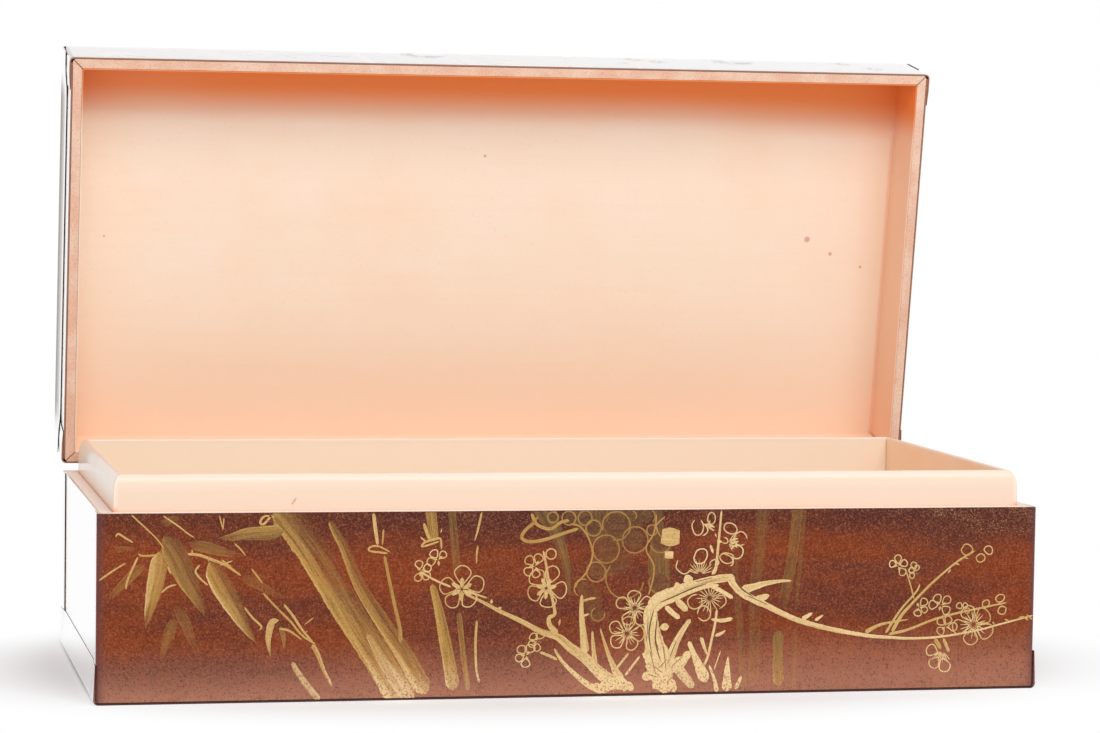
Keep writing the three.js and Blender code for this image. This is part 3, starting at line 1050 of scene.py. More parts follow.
def ring_of_walls(tray, outline, name, node, rounding, soft_above=None):
    """Four mitred walls inside a tray. The name and the node have {} where the side goes."""
    long_wall = (tray.board_half_length, tray.board_half_depth)
    end_wall = long_wall[::-1]
    for side, quarters, (half_run, distance) in (
        (tray.near, 0, long_wall), ("right", 1, end_wall),
        (tray.far, 2, long_wall), ("left", -1, end_wall),
    ):
        helper = mitred_helper(name.format(side), outline, half_run, soft_above)
        soften(helper, rounding)
        turn = Matrix.Rotation(quarters * math.pi / 2, 4, "Z")
        turned = turn @ Matrix.Translation((0, -distance, 0))
        piece = settled(helper, name.format(side), tray.placing @ turned, lining[tray.body])
        stands_for(piece, tray.body, "lining_leather", node.format(side))


# %% The lip
SHOULDER_DROP = 7.4 * MM
CREST_ROUND = 1 * MM
LINING_THICKNESS = 0.5 * MM
LIP_BEND_STEPS = 12
LIP_ROUNDING = 0.15 * MM
lip_low, lip_high = measured("lip_front_leather")
lip_outside = lip_low.y + base_tray.board_half_depth
lip_thickness = lip_high.y - lip_low.y
lip_foot = measured("lip_front_board")[0].z


def lip_outline(depth):
    """Up the outer face, round its long shoulder, over the crest and down inside."""
    inward = lip_thickness - CREST_ROUND
    shoulder = []
    for step in range(LIP_BEND_STEPS + 1):
        angle = math.pi / 2 * step / LIP_BEND_STEPS
        shoulder.append((lip_outside + inward - (inward - depth) * math.cos(angle),
                         lip_crest - SHOULDER_DROP + (SHOULDER_DROP - depth) * math.sin(angle)))
    crest = (lip_outside + inward, lip_crest - CREST_ROUND)
    crest_bend = bend(crest, CREST_ROUND - depth, 90, 0, LIP_BEND_STEPS // 2)
    return [
        (lip_outside + depth, lip_low.z),
        (lip_outside + depth, base_height),
        *shoulder,
        *[tuple(point) for point in crest_bend[1:]],
        (lip_outside + lip_thickness - depth, lip_foot),
    ]


lip_skin = lip_outline(0) + lip_outline(LINING_THICKNESS)[::-1]
ring_of_walls(base_tray, lip_skin, "lip_{}_skin", "lip_{}_leather", LIP_ROUNDING, base_height)
print("lip rises", round((lip_crest - base_height) / MM, 2), "mm above the rim")

# %% The linings on the lid's walls
LOWERED_FOOT = 0.13 * MM
LINING_STEPS = 6
LINING_ROUNDING = 0.12 * MM
wall_low, wall_high = measured("lid_rear_lining", lid_place)
lining_outside = wall_low.y + lid_tray.board_half_depth
lining_inside = wall_high.y + lid_tray.board_half_depth
lining_foot = wall_low.z - LOWERED_FOOT
lining_outline = [
    (lining_outside, lining_foot),
    *[(lining_inside, lining_foot + (wall_high.z - lining_foot) * step / LINING_STEPS)
      for step in range(LINING_STEPS + 1)],
    (lining_outside, wall_high.z),
]
ring_of_walls(lid_tray, lining_outline, "lid_{}_wall_skin", "lid_{}_lining", LINING_ROUNDING)
print("lid wall linings", round((wall_high.z - lining_foot) / MM, 2), "mm high")

# %% [markdown]
# ## The two large linings
#
# The lid's panel and the floor of the base are each faced with one sheet of the pale leather. It
# was glued down by hand, so it is not quite flat. A grid of points rises and falls by a tenth of
# a millimetre, less and less towards the edges, and is then given its thickness.

# %% Panel and floor linings
PUFF = 0.14 * MM
PUFF_SCALE = 22
PUFF_MARGIN = 12 * MM
PANEL_GAP = 4 * MM


def glued_sheet(name, node, tray):
    low, high = measured(node, tray.placing)
    columns = 1 + round((high.x - low.x) / PANEL_GAP)
    rows = 1 + round((high.y - low.y) / PANEL_GAP)
    vertices = []
    for column in range(columns):
        for row in range(rows):
            x = low.x + (high.x - low.x) * column / (columns - 1)
            y = low.y + (high.y - low.y) * row / (rows - 1)
            to_edge = min(x - low.x, high.x - x, y - low.y, high.y - y)
            rise = 0.5 + 0.5 * noise.noise(Vector((x, y, low.z)) * PUFF_SCALE)
            rise *= PUFF * min(1, to_edge / PUFF_MARGIN)
            vertices.append((x, y, high.z + rise))
    helper = helper_mesh(name, vertices, [], grid_faces(columns, rows))
    thicken(helper, high.z - low.z, -1.0)
    soften(helper, LINING_ROUNDING)
    piece = settled(helper, name, tray.placing, lining[tray.body])
    stands_for(piece, tray.body, "lining_leather", node)
    print(name, columns, "by", rows, "points")


glued_sheet("lid_panel_skin", "lid_panel_lining", lid_tray)
glued_sheet("base_floor_skin", "base_floor_lining", base_tray)

# %% [markdown]
# ## The boards that show at the rims
#
# A sawn board never has a razor edge. These eight keep the shape that the frame gives them, mitre
# cuts, rounded corners and nail holes included. Their mesh is copied, its loose triangles are
# merged and joined into flat faces, and a Bevel modifier eases every edge.

# %% Eased boards
BOARD_EASING = 0.35 * MM
BOARD_MERGE = 0.001 * MM
SAME_PLANE = math.radians(1)


def eased_copy(node, name, finish):
    mesh = frame["nodes"][node].data.copy()
    with reworked(mesh) as working:
        bmesh.ops.remove_doubles(working, verts=working.verts, dist=BOARD_MERGE)
        bmesh.ops.dissolve_limit(
            working, angle_limit=SAME_PLANE, verts=working.verts, edges=working.edges,
        )
    helper = linked(name, mesh)
    soften(helper, BOARD_EASING)
    return settled(helper, name, Matrix.Identity(4), finish)


for tray in TRAYS.values():
    sides = (tray.near, tray.far, "left", "right")
    for side in sides:
        node = f"{tray.body}_{side}_board"
        wall = eased_copy(node, f"{tray.body}_{side}_wall", suede[tray.body])
        stands_for(wall, tray.body, "lining_leather", node)
    print(tray.body, "boards eased:", sides)

# %% [markdown]
# ## Brass hinges
#
# A box hinge is cut from sheet brass: a plate with tongues, each tongue rolled round the pin. The
# mesh is made in that order. A grid of points follows the plate up and then round the roll, the
# quads between the tongues are left out, and Solidify turns the sheet into metal one millimetre
# thick. The pins are lathed, and the nails are one small lathed shape that Geometry Nodes set on
# every nail place, each a little differently, as hand-driven nails are.

# %% Hinge leaves and pins
BRASS_SHEET = 1 * MM
KNUCKLE_GAP = 0.3 * MM
ROLL_END_DEGREES = -118
ROLL_STEPS = 28
LEAF_GAP = 1.5 * MM
LEAF_ROUNDING = 0.2 * MM
PIN_STEPS = 40
PIN_DOME = 0.7 * MM
PIN_DOME_ANGLES = (0, 0.5, 1.0, 1.35)
SHAFT_SHARE = 0.74


def lathed(profile, steps):
    """Vertices and faces of a [radius, along] profile turned round X, with both tips closed."""
    vertices = []
    faces = []
    rows = len(profile)
    for step in range(steps):
        angle = 2 * math.pi * step / steps
        for radius, along in profile:
            vertices.append((along, radius * math.cos(angle), radius * math.sin(angle)))
    for step in range(steps):
        following = (step + 1) % steps
        for row in range(rows - 1):
            faces.append((step * rows + row, step * rows + row + 1,
                          following * rows + row + 1, following * rows + row))
    faces.append(tuple(step * rows for step in range(steps)))
    faces.append(tuple(step * rows + rows - 1 for step in reversed(range(steps))))
    return vertices, faces


def leaf_helper(name, half_run, height, barrel, tongues):
    """A plate that hangs below the pin at the origin, its tongues rolled round the pin."""
    plate_top = -barrel - KNUCKLE_GAP
    plate_rows = 1 + round((height + plate_top) / LEAF_GAP)
    path = [Vector((-barrel, -height + (height + plate_top) * row / (plate_rows - 1)))
            for row in range(plate_rows)]
    path += [Vector((-barrel, 0))]
    path += bend((0, 0), barrel, 180, ROLL_END_DEGREES, ROLL_STEPS)[1:]
    cuts = sorted({-half_run, half_run, *[end for tongue in tongues for end in tongue]})
    columns = []
    for start, end in zip(cuts, cuts[1:]):
        columns += [point[0] for point in straight((start, 0), (end, 0), LEAF_GAP)]
    columns.append(half_run)
    vertices = [(x, place.x, place.y) for x in columns for place in path]

    def keep(column, row):
        middle = (columns[column] + columns[column + 1]) / 2
        return row < plate_rows - 1 or any(start < middle < end for start, end in tongues)

    helper = helper_mesh(name, vertices, [], grid_faces(len(columns), len(path), keep))
    with reworked(helper.data) as working:
        loose = [vertex for vertex in working.verts if not vertex.link_faces]
        bmesh.ops.delete(working, geom=loose, context="VERTS")
    return helper


def make_leaves(side, at_pin, low, high):
    """Two leaves from the size of the one on the base. The lid's has one tongue, in the middle."""
    half_run = (high.x - low.x) / 2
    third = 2 * half_run / 3
    gap = KNUCKLE_GAP / 2
    outer = (third / 2 + gap, half_run - gap)
    inner = (gap - third / 2, third / 2 - gap)
    turned_over = Matrix.Rotation(math.pi, 4, "Y")
    for body, tongues, placing in (
        ("base", [(-outer[1], -outer[0]), outer], at_pin),
        ("lid", [inner], swing_open @ at_pin @ turned_over),
    ):
        name = f"{side}_{body}_leaf"
        barrel = (high.y - low.y) / 2
        helper = leaf_helper(name, half_run, hinge_place.z - low.z, barrel, tongues)
        thicken(helper, BRASS_SHEET, -1.0)
        soften(helper, LEAF_ROUNDING)
        leaf = settled(helper, name, placing, brass[body])
        stands_for(leaf, body, "hinge_brass", f"{side}_hinge_{body}_leaf")


def make_pin(side, at_pin):
    low, high = measured(f"{side}_hinge_pin")
    end = (high.x - low.x) / 2
    head = (high.z - low.z) / 2
    shaft = SHAFT_SHARE * head
    dome = [(head * math.cos(angle), end - PIN_DOME + PIN_DOME * math.sin(angle))
            for angle in PIN_DOME_ANGLES]
    half = [(shaft, 0), (shaft, end - PIN_DOME), *dome]
    profile = [(radius, -along) for radius, along in half[::-1]] + half[1:]
    vertices, faces = lathed(profile, PIN_STEPS)
    helper = helper_mesh(f"{side}_pin", vertices, [], faces)
    pin = settled(helper, f"{side}_pin", at_pin, brass["base"])
    stands_for(pin, "base", "hinge_brass", f"{side}_hinge_pin")


for side in ("left", "right"):
    low, high = measured(f"{side}_hinge_base_leaf")
    at_pin = Matrix.Translation(((low.x + high.x) / 2, hinge_place.y, hinge_place.z))
    make_leaves(side, at_pin, low, high)
    make_pin(side, at_pin)
    print(side, "hinge at", round(at_pin.translation.x / MM, 1), "mm from the middle")

# %% Nails on their places
NAIL_HEAD = 1.5 * MM
NAIL_RISE = 0.7 * MM
NAIL_SHANK = 0.6 * MM
NAIL_LENGTH = 5 * MM
NAIL_TIP = 0.12 * MM
NAIL_HEAD_ANGLES = [math.radians(degrees) for degrees in (20, 45, 65, 82)]
NAIL_STEPS = 20
NAIL_TILT = 0.05
nail_profile = [
    (NAIL_TIP, -NAIL_LENGTH),
    (NAIL_SHANK, NAIL_SHANK - NAIL_LENGTH),
    (NAIL_SHANK, 0),
    (NAIL_HEAD, 0),
    *[(NAIL_HEAD * math.cos(angle), NAIL_RISE * math.sin(angle)) for angle in NAIL_HEAD_ANGLES],
]
vertices, faces = lathed(nail_profile, NAIL_STEPS)
nail_shape = helper_mesh("nail_shape", vertices, [], faces)

nail_row = Recipe("nail_row", {
    "Nail": "NodeSocketObject",
    "Tilt": "NodeSocketFloat",
    "Seed": "NodeSocketInt",
    "Brass": "NodeSocketMaterial",
})
nail = {"Object": nail_row.given("Nail")}
one_nail = nail_row.node("GeometryNodeObjectInfo", {}, nail, "Geometry")
tilt = nail_row.given("Tilt")
down = -1 * tilt
turns = {"Min": nail_row.combined(0.0, down, down), "Max": nail_row.combined(0.0, tilt, tilt),
         "Seed": nail_row.given("Seed")}
turn = nail_row.node("FunctionNodeRandomValue", {"data_type": "FLOAT_VECTOR"}, turns)
set_on = {"Points": nail_row.given("Path"), "Instance": one_nail, "Rotation": turn}
nail_row.ends(nail_row.node("GeometryNodeInstanceOnPoints", {}, set_on), nail_row.given("Brass"))


def nail_places(body, placing):
    """Where the heads sit on the leaves, as the frame has them."""
    names = [f"{side}_hinge_{body}_nail_{number}"
             for side in ("left", "right") for number in (1, 2, 3)]
    places = []
    for name in names:
        low, high = measured(name, placing)
        places.append(Vector(((low.x + high.x) / 2, high.y - NAIL_RISE, (low.z + high.z) / 2)))
    return names, places


for seed, (body, placing) in enumerate((("base", base_place), ("lid", swing_open))):
    names, places = nail_places(body, placing)
    out_from_back = Matrix.Rotation(math.pi / 2, 4, "Z")
    helper = helper_mesh(f"{body}_nails", [out_from_back.inverted() @ p for p in places], [], [])
    nail_row.on(helper, {
        "Nail": nail_shape, "Tilt": NAIL_TILT, "Seed": seed, "Brass": brass[body],
    })
    nails = settled(helper, f"{body}_nails", placing @ out_from_back, brass[body])
    stands_for(nails, body, "hinge_brass", *names)
    print(body, "nails:", len(names))
bpy.data.objects.remove(nail_shape)

# %% [markdown]
# ## Gilding: the brush
#
# The painter worked with gold on the dry lacquer: broad dry strokes for bamboo and bark, thin wet
# lines for twigs and petals. A stroke has a path, a width that changes along it, and paint that is
# thick or thin. So each stroke is written as a few points in millimetres on a face of the box,
# with its widths. Geometry Nodes turns the points into smooth curves and sweeps a flat, closed
# profile along them, with blunt or pointed ends, and stores where each point lies along and
# across its stroke. The paint then wears off in streaks along the hairs of the brush.
#
# Where two strokes cross, the later one lies on top. Each stroke is raised by three thousandths
# of a millimetre more than what it may cross, which keeps the faces apart and is never seen.

# %% Brush stroke recipe
PAINT_LAYER = 0.003 * MM
PAINT_THICKNESS = 0.002 * MM
BRUSH_STEP = 0.9 * MM
THINNEST = 0.05 * MM

brush_stroke = Recipe("brush_stroke", {
    "Step": "NodeSocketFloat",
    "Thickness": "NodeSocketFloat",
    "Raggedness": "NodeSocketFloat",
    "Gilt": "NodeSocketMaterial",
})
stroke = brush_stroke.node("GeometryNodeMeshToCurve", {}, {"Mesh": brush_stroke.given("Path")})
smooth = {"spline_type": "CATMULL_ROM"}
stroke = brush_stroke.node("GeometryNodeCurveSplineType", smooth, {"Curve": stroke})
steps = {"Curve": stroke, "Length": brush_stroke.given("Step")}
stroke = brush_stroke.node("GeometryNodeResampleCurve", {"mode": "LENGTH"}, steps)
stroke = brush_stroke.node("GeometryNodeSetCurveNormal", {"mode": "Z_UP"}, {"Curve": stroke})
share = brush_stroke.node("GeometryNodeSplineParameter", {}, {}, "Factor")
along = brush_stroke.node("GeometryNodeSplineParameter", {}, {}, "Length")
half_width = brush_stroke.read("half_width")
leaf = brush_stroke.read("leaf")
loose_end = brush_stroke.read("loose_end")
swell = (share.power(0.56) * math.pi).sine()
leaf_shape = 1 - leaf * (1 - swell.clamped().power(0.7))
to_end = along / share - along
nearest_end = along.at_most(to_end)
round_end = (nearest_end / half_width).clamped().power(0.5)
end_shape = 1 - loose_end * (1 - round_end)
point = brush_stroke.node("GeometryNodeInputPosition", {}, {})
ragged = 1 + (brush_stroke.noise(point, 420, 3, 0.6) - 0.5) * brush_stroke.given("Raggedness")
width = (half_width * leaf_shape * end_shape * ragged).at_least(THINNEST)
stroke = brush_stroke.kept(stroke, "along", along)
stroke = brush_stroke.kept(stroke, "share", share)
stroke = brush_stroke.kept(stroke, "reach", width)
level = brush_stroke.axes(point)[2]
stroke = brush_stroke.kept(stroke, "level", level)
flat = {"Width": 2.0, "Height": 0.1}
ribbon = brush_stroke.node("GeometryNodeCurvePrimitiveQuadrilateral", {}, flat)
profile_point = brush_stroke.node("GeometryNodeInputPosition", {}, {})
ribbon = brush_stroke.kept(ribbon, "across", brush_stroke.axes(profile_point)[0])
sweep = {"Curve": stroke, "Profile Curve": ribbon, "Scale": width, "Fill Caps": True}
stroke = brush_stroke.node("GeometryNodeCurveToMesh", {}, sweep)
path_level = brush_stroke.read("level")
side = (level - path_level).sign()
flattened = path_level + side * brush_stroke.given("Thickness") * 0.5 - level
offset = {"Geometry": stroke, "Offset": brush_stroke.combined(0.0, 0.0, flattened)}
stroke = brush_stroke.node("GeometryNodeSetPosition", {}, offset)
brush_stroke.ends(stroke, brush_stroke.given("Gilt"))

# %% Gilt finish
GILT_WASH = paint_colour(104, 84, 52)
GILT = paint_colour(194, 150, 78)
GILT_PALE = paint_colour(237, 206, 152)
GILT_FOOT = (12 * MM, 12 * MM)


def gilt_finish(body):
    """Gold paint over the lacquer, worn through in streaks along each stroke."""
    finish = Finish(f"gilt_paint_{body}", body)
    colour, roughness, height = lacquer_look(finish)
    along = finish.attribute("along")
    across = finish.attribute("across")
    share = finish.attribute("share")
    leaf = finish.attribute("leaf")
    cover = finish.attribute("cover")
    sideways = across * finish.attribute("reach")
    seed = finish.attribute("seed") * 9
    broad_hairs = finish.noise(finish.combined(along * 22, sideways * 520, seed), 1.0, 3, 0.6)
    fine_hairs = finish.noise(finish.combined(along * 90, sideways * 2600, seed), 1.0, 3, 0.7)
    grit = finish.noise(finish.place, 1500, 3, 0.7)
    foot = finish.axes(finish.place)[2].below(*GILT_FOOT)
    hairs = broad_hairs * 0.4 + fine_hairs * 0.35 + grit * 0.25
    away = finish.attribute("loaded") * (1 - across) * 0.5
    fades = leaf * ((share - 0.6) * 2).clamped()
    worn = finish.attribute("dry") + foot * 0.12 + away * 0.4 + fades * 0.5
    paint = (1.3 - worn * 0.7 + (hairs - 0.5) * (1 + worn * 7)).clamped()
    thin_wash = ((0.75 - cover) * 4).clamped()
    fades = fades + thin_wash * (1 - (share.at_most(1 - share) * 5).clamped())
    paint = paint * cover * (1 - away * 0.85) * (1 - fades.clamped() * 0.6)
    pepper = finish.noise(finish.place, 1100, 2, 0.5).above(0.57, 0.04)
    paint = paint * (1 - pepper * (0.25 + foot * 0.55))
    rim = across.above(0.84, 0.12) * leaf
    tone = finish.attribute("tone") + (hairs - 0.5) * 1.7 - away * 0.4 + foot * 0.4 + rim * 0.2
    gold = finish.mix(tone * 2, GILT_WASH, GILT)
    gold = finish.mix(tone * 2 - 1, gold, GILT_PALE)
    return finish.surface({
        "Base Color": finish.mix(paint, colour, gold),
        "Metallic": paint * 0.2,
        "Roughness": roughness + paint * 0.08,
        "Normal": finish.bumped(height * 0.7 + paint * 0.5, LACQUER_RELIEF),
        **COAT,
    }, POLISH)


gilt = {body: gilt_finish(body) for body in TRAYS}
print("finishes:", len(bpy.data.materials))

# %% Collecting strokes
STROKE_VALUES = ("half_width", "leaf", "loose_end", "tone", "cover", "dry", "loaded", "seed")
CUT_TOLERANCE = 0.0001 * MM


def placed(centre, angle, out, side=0):
    """The point that lies outward from a centre at an angle, and to the side of that line."""
    return (centre[0] + out * math.cos(angle) - side * math.sin(angle),
            centre[1] + out * math.sin(angle) + side * math.cos(angle))


def spread_evenly(values, count):
    """A short list of values, spread over a number of points with even steps between them."""
    if not isinstance(values, (list, tuple)):
        values = [values, values]
    spread = []
    for index in range(count):
        place = index * (len(values) - 1) / max(1, count - 1)
        before = min(int(place), len(values) - 2)
        spread.append(values[before] + (values[before + 1] - values[before]) * (place - before))
    return spread


class Painting:
    """Strokes on one flat face, in millimetres from its lower left corner."""

    def __init__(self, name, seed, over=None, raggedness=0.25):
        self.name = name
        self.raggedness = raggedness
        self.chance = random.Random(seed)
        self.count = 0
        self.vertices = []
        self.edges = []
        self.values = {value: [] for value in STROKE_VALUES}
        self.laid = over.laid if over else []

    def layer_over(self, points, half_width):
        """The lowest layer that is above every stroke that these points may cross."""
        dense = []
        for start, end in zip(points, points[1:]):
            gap = max(half_width * 0.5, 0.5)
            dense += [tuple(place) for place in straight(start, end, gap)]
        dense.append(tuple(points[-1]))
        low = [min(point[axis] for point in points) - half_width for axis in range(2)]
        high = [max(point[axis] for point in points) + half_width for axis in range(2)]
        crossed = 0
        for layer, other_low, other_high, other_dense, other_half in self.laid:
            apart = any(low[axis] > other_high[axis] or other_low[axis] > high[axis]
                        for axis in range(2))
            if layer <= crossed or apart:
                continue
            near = half_width + other_half + 0.4
            if any(math.dist(one, other) < near for one in dense for other in other_dense):
                crossed = layer
        self.laid.append((crossed + 1, low, high, dense, half_width))
        return crossed + 1

    def stroke(self, points, width, tone=0.7, cover=1.0, dry=0.1, loaded=0.0, leaf=0.0,
               closed=False, blunt=0.0):
        self.count += 1
        widths = spread_evenly(width, len(points))
        loads = spread_evenly(loaded, len(points))
        layer = self.layer_over(points, max(widths) / 2)
        first = len(self.vertices)
        seed = self.chance.random()
        for (across, up), full, load in zip(points, widths, loads):
            self.vertices.append((across * MM, up * MM, layer * PAINT_LAYER))
            one = {"half_width": full / 2 * MM, "leaf": leaf, "tone": tone, "cover": cover,
                   "loose_end": 0.0 if closed else 1.0 - blunt, "dry": dry, "loaded": load,
                   "seed": seed}
            for value, amount in one.items():
                self.values[value].append(amount)
        last = len(self.vertices) - 1
        self.edges += [(index, index + 1) for index in range(first, last)]
        if closed:
            self.edges.append((last, first))

    def leaf(self, points, width, tone=0.5, cover=0.95, dry=0.3, loaded=0.0):
        self.stroke(points, width, tone, cover, dry, loaded, leaf=1.0)

    def ring(self, centre, radius, width=0.6, tone=0.7, cover=1.0, start=0, end=360, free=0.05):
        """A circle, or an arc of one, drawn by a free or a careful hand."""
        closed = end - start >= 360
        lean = self.chance.uniform(0, math.pi)
        squash = 1 - free * self.chance.random()
        count = 10 if closed else 8
        points = []
        for index in range(count):
            share = index / count if closed else index / (count - 1)
            angle = math.radians(start + (end - start) * share)
            uneven = radius * (1 + free * (self.chance.random() - 0.5) / 2)
            side = uneven * math.sin(angle) * squash
            points.append(placed(centre, lean, uneven * math.cos(angle), side))
        self.stroke(points, width, tone, cover, closed=closed)

    def petal(self, centre, angle, reach, breadth, width=0.52, tone=0.75):
        """The outline of one petal, an egg whose narrow end is at the blossom's centre."""
        shape = ((0.24, 0), (0.48, 0.62), (0.78, 0.95), (1.02, 0.4), (1.02, -0.4), (0.78, -0.95),
                 (0.48, -0.62))
        points = []
        for outward, sideways in shape:
            out = outward * reach * (1 + 0.06 * (self.chance.random() - 0.5))
            points.append(placed(centre, angle, out, sideways * breadth / 2))
        self.stroke(points, width, tone, closed=True)

    def petals(self, centre, radius, turn_degrees, count=5, missing=()):
        for index in range(count):
            if index not in missing:
                angle = math.radians(turn_degrees + 360 * index / 5 + self.chance.uniform(-7, 7))
                reach = radius * self.chance.uniform(0.88, 1.1)
                self.petal(centre, angle, reach, radius * self.chance.uniform(0.72, 0.92))

    def spokes(self, centre, radius, turn_degrees, count=5):
        """The fat short strokes in the heart of a simply painted blossom."""
        for index in range(count):
            angle = math.radians(turn_degrees + 360 * index / count)
            reach = radius * (0.46 + 0.12 * self.chance.random())
            points = [placed(centre, angle, share * reach) for share in (0.1, 0.6, 1)]
            fat = 0.09 * radius
            self.stroke(points, [0.5 + fat, 0.9 + fat, 0.8 + fat], 0.72)

    def stamens(self, centre, radius, turn_degrees, spread_degrees=360, count=18):
        """Hair-thin lines from the heart, each ending in a dot."""
        for index in range(count):
            share = index / count + 0.02 * (self.chance.random() - 0.5)
            angle = math.radians(turn_degrees + spread_degrees * share)
            reach = radius * (0.56 + 0.2 * self.chance.random())
            start = placed(centre, angle, 0.12 * radius)
            tip = placed(centre, angle, reach)
            self.stroke([start, tip], 0.36, 0.9)
            self.stroke([(tip[0] - 0.15, tip[1]), (tip[0] + 0.15, tip[1] + 0.1)], 0.8, 0.95)

    def onto(self, placing, body, low, high):
        """Makes the piece: strokes swept, cut off at the face's edges and laid on the face."""
        helper = helper_mesh(self.name, self.vertices, self.edges, [])
        for value, amounts in self.values.items():
            stored = helper.data.attributes.new(value, "FLOAT", "POINT")
            stored.data.foreach_set("value", amounts)
        brush_stroke.on(helper, {
            "Step": BRUSH_STEP,
            "Thickness": PAINT_THICKNESS,
            "Raggedness": self.raggedness,
            "Gilt": gilt[body],
        })
        mesh = evaluated_mesh(helper)
        with reworked(mesh) as working:
            for edge, outward in ((low, -1), (high, 1)):
                for axis in range(2):
                    facing = Vector((0, 0, 0))
                    facing[axis] = outward
                    cut = bmesh.ops.bisect_plane(
                        working, geom=[*working.verts, *working.edges, *working.faces],
                        dist=CUT_TOLERANCE, plane_co=(edge[0] * MM, edge[1] * MM, 0),
                        plane_no=facing, clear_outer=True,
                    )
                    rims = [item for item in cut["geom_cut"]
                            if isinstance(item, bmesh.types.BMEdge)]
                    bmesh.ops.holes_fill(working, edges=rims, sides=8)
        mesh.transform(placing)
        tidy(mesh, merge=False)
        give_finish(mesh, gilt[body])
        mesh.name = self.name
        piece = linked(self.name, mesh)
        layers = max(stroke[0] for stroke in self.laid)
        print(self.name, self.count, "strokes in", layers, "layers,",
              len(piece.data.polygons), "faces")
        stands_for(piece, body, "lacquered_leather")


# %% [markdown]
# ## Gilding: bamboo on the left of the front
#
# The stalks are broad, loaded with gold on one edge of the brush and dry on the other. Two of the
# leaves hang bright in front, and others behind them are thin washes. Twigs and the little joints
# on the stalks are quick lines.

# %% Bamboo
bamboo = Painting("gilt_bamboo", 11)
for points, width, cover in (
    ([(39, 68.5), (46, 67.5), (53, 65.5), (63, 63.5)], 4.9, 0.42),
    ([(20.5, 60.5), (15, 55.5), (8.5, 49), (3.5, 44)], 4.1, 0.4),
    ([(33.5, 37), (31, 30.5), (29, 24), (28, 18.5)], 4.9, 0.34),
    ([(34, 42), (38, 34.5), (41, 27), (44.5, 20)], 4.5, 0.28),
    ([(61.5, 54.5), (68, 51.5), (74.5, 48), (81.5, 45)], 4.1, 0.2),
    ([(7, 66.5), (11.5, 67), (17.5, 67)], 2.4, 0.25),
    ([(27, 77), (31, 79), (36, 80.5)], 3.4, 0.3),
):
    bamboo.leaf(points, width, 0.3, cover, 0.35)

stalk = [(76.5, 86), (90, 68.5), (98.5, 55), (104.5, 44.5), (108.5, 38), (122.5, 16.5),
         (134.5, -5)]
bamboo.stroke(stalk, [13.5, 13.8, 13, 12.8, 13], 0.5, 1, 0.45, loaded=[1.1, 0.9, 0.6, 0.2])
bamboo.stroke([(116.5, 29), (125, 14.5), (137, -5)], [2, 5, 8], 0.62, 0.8, 0.5)
bamboo.stroke([(99.5, 78.5), (102, 73.5), (106, 66.5), (113, 50), (123.5, 33.5), (132, 21),
               (139.5, 8), (142.5, 2.6)], [2.4, 3.4, 4.6, 6, 7.5, 8, 8], 0.48, 1, 0.4,
              [0.9, 0.8, 0.2])
bamboo.stroke([(123.5, 63), (125.5, 53.5), (128, 42.5), (130.5, 31.5), (131, 25)], [1.2, 1.9],
              0.4, 0.9, 0.4)
bamboo.stroke([(143, 86), (144.5, 74.5), (145, 69)], 4.6, 0.4, 0.85, 0.5)
bamboo.stroke([(144.5, 50.5), (147.5, 39.5), (150, 28), (152.5, 16), (154.5, 4)],
              [2.6, 4, 5, 5.6, 6], 0.5, 1, 0.35, 0.4)
bamboo.stroke([(152, 90), (154, 70.5), (155.5, 54)], 3.4, 0.25, 0.4, 0.3)
bamboo.stroke([(156.5, 38), (158.5, 20.5), (161, 3.5)], 2.4, 0.35, 0.6, 0.4)

bamboo.leaf([(27, 66), (26, 58), (24.5, 49.5), (22.5, 40.5), (21, 33)], 7.6, 0.55, 1, 0.3, 0.5)
bamboo.leaf([(28.5, 72.5), (34, 63.5), (38, 54.5), (42.5, 46), (46.5, 37.5)], 10, 0.26, 0.85,
            0.4, 0.5)
bamboo.leaf([(48, 61.5), (52, 53), (57.5, 43.5), (62.5, 35), (68.5, 25.5)], 9, 0.56, 1, 0.25, 0.9)
bamboo.leaf([(80, 74.2), (72, 73.2), (63.5, 72.8), (57, 71.5), (51, 71)], 6.2, 0.4, 0.9, 0.35, 0.4)
bamboo.leaf([(78, 35.5), (75, 34.5), (73.5, 27.5), (74.5, 20)], 2.9, 0.62, 0.95, 0.25)
bamboo.leaf([(78.5, 33), (80, 28.5), (80.5, 22)], 2.1, 0.35, 0.7, 0.3)
bamboo.stroke([(92.5, 25), (95, 20.5), (98, 13), (101.5, 6.5)], [2.2, 1.1], 0.55, 0.9, 0.35)
bamboo.stroke([(84, 17.5), (86, 13.5), (91, 6.5), (96, 0.8)], [1.6, 2.8, 2.4], 0.6, 0.8, 0.5)

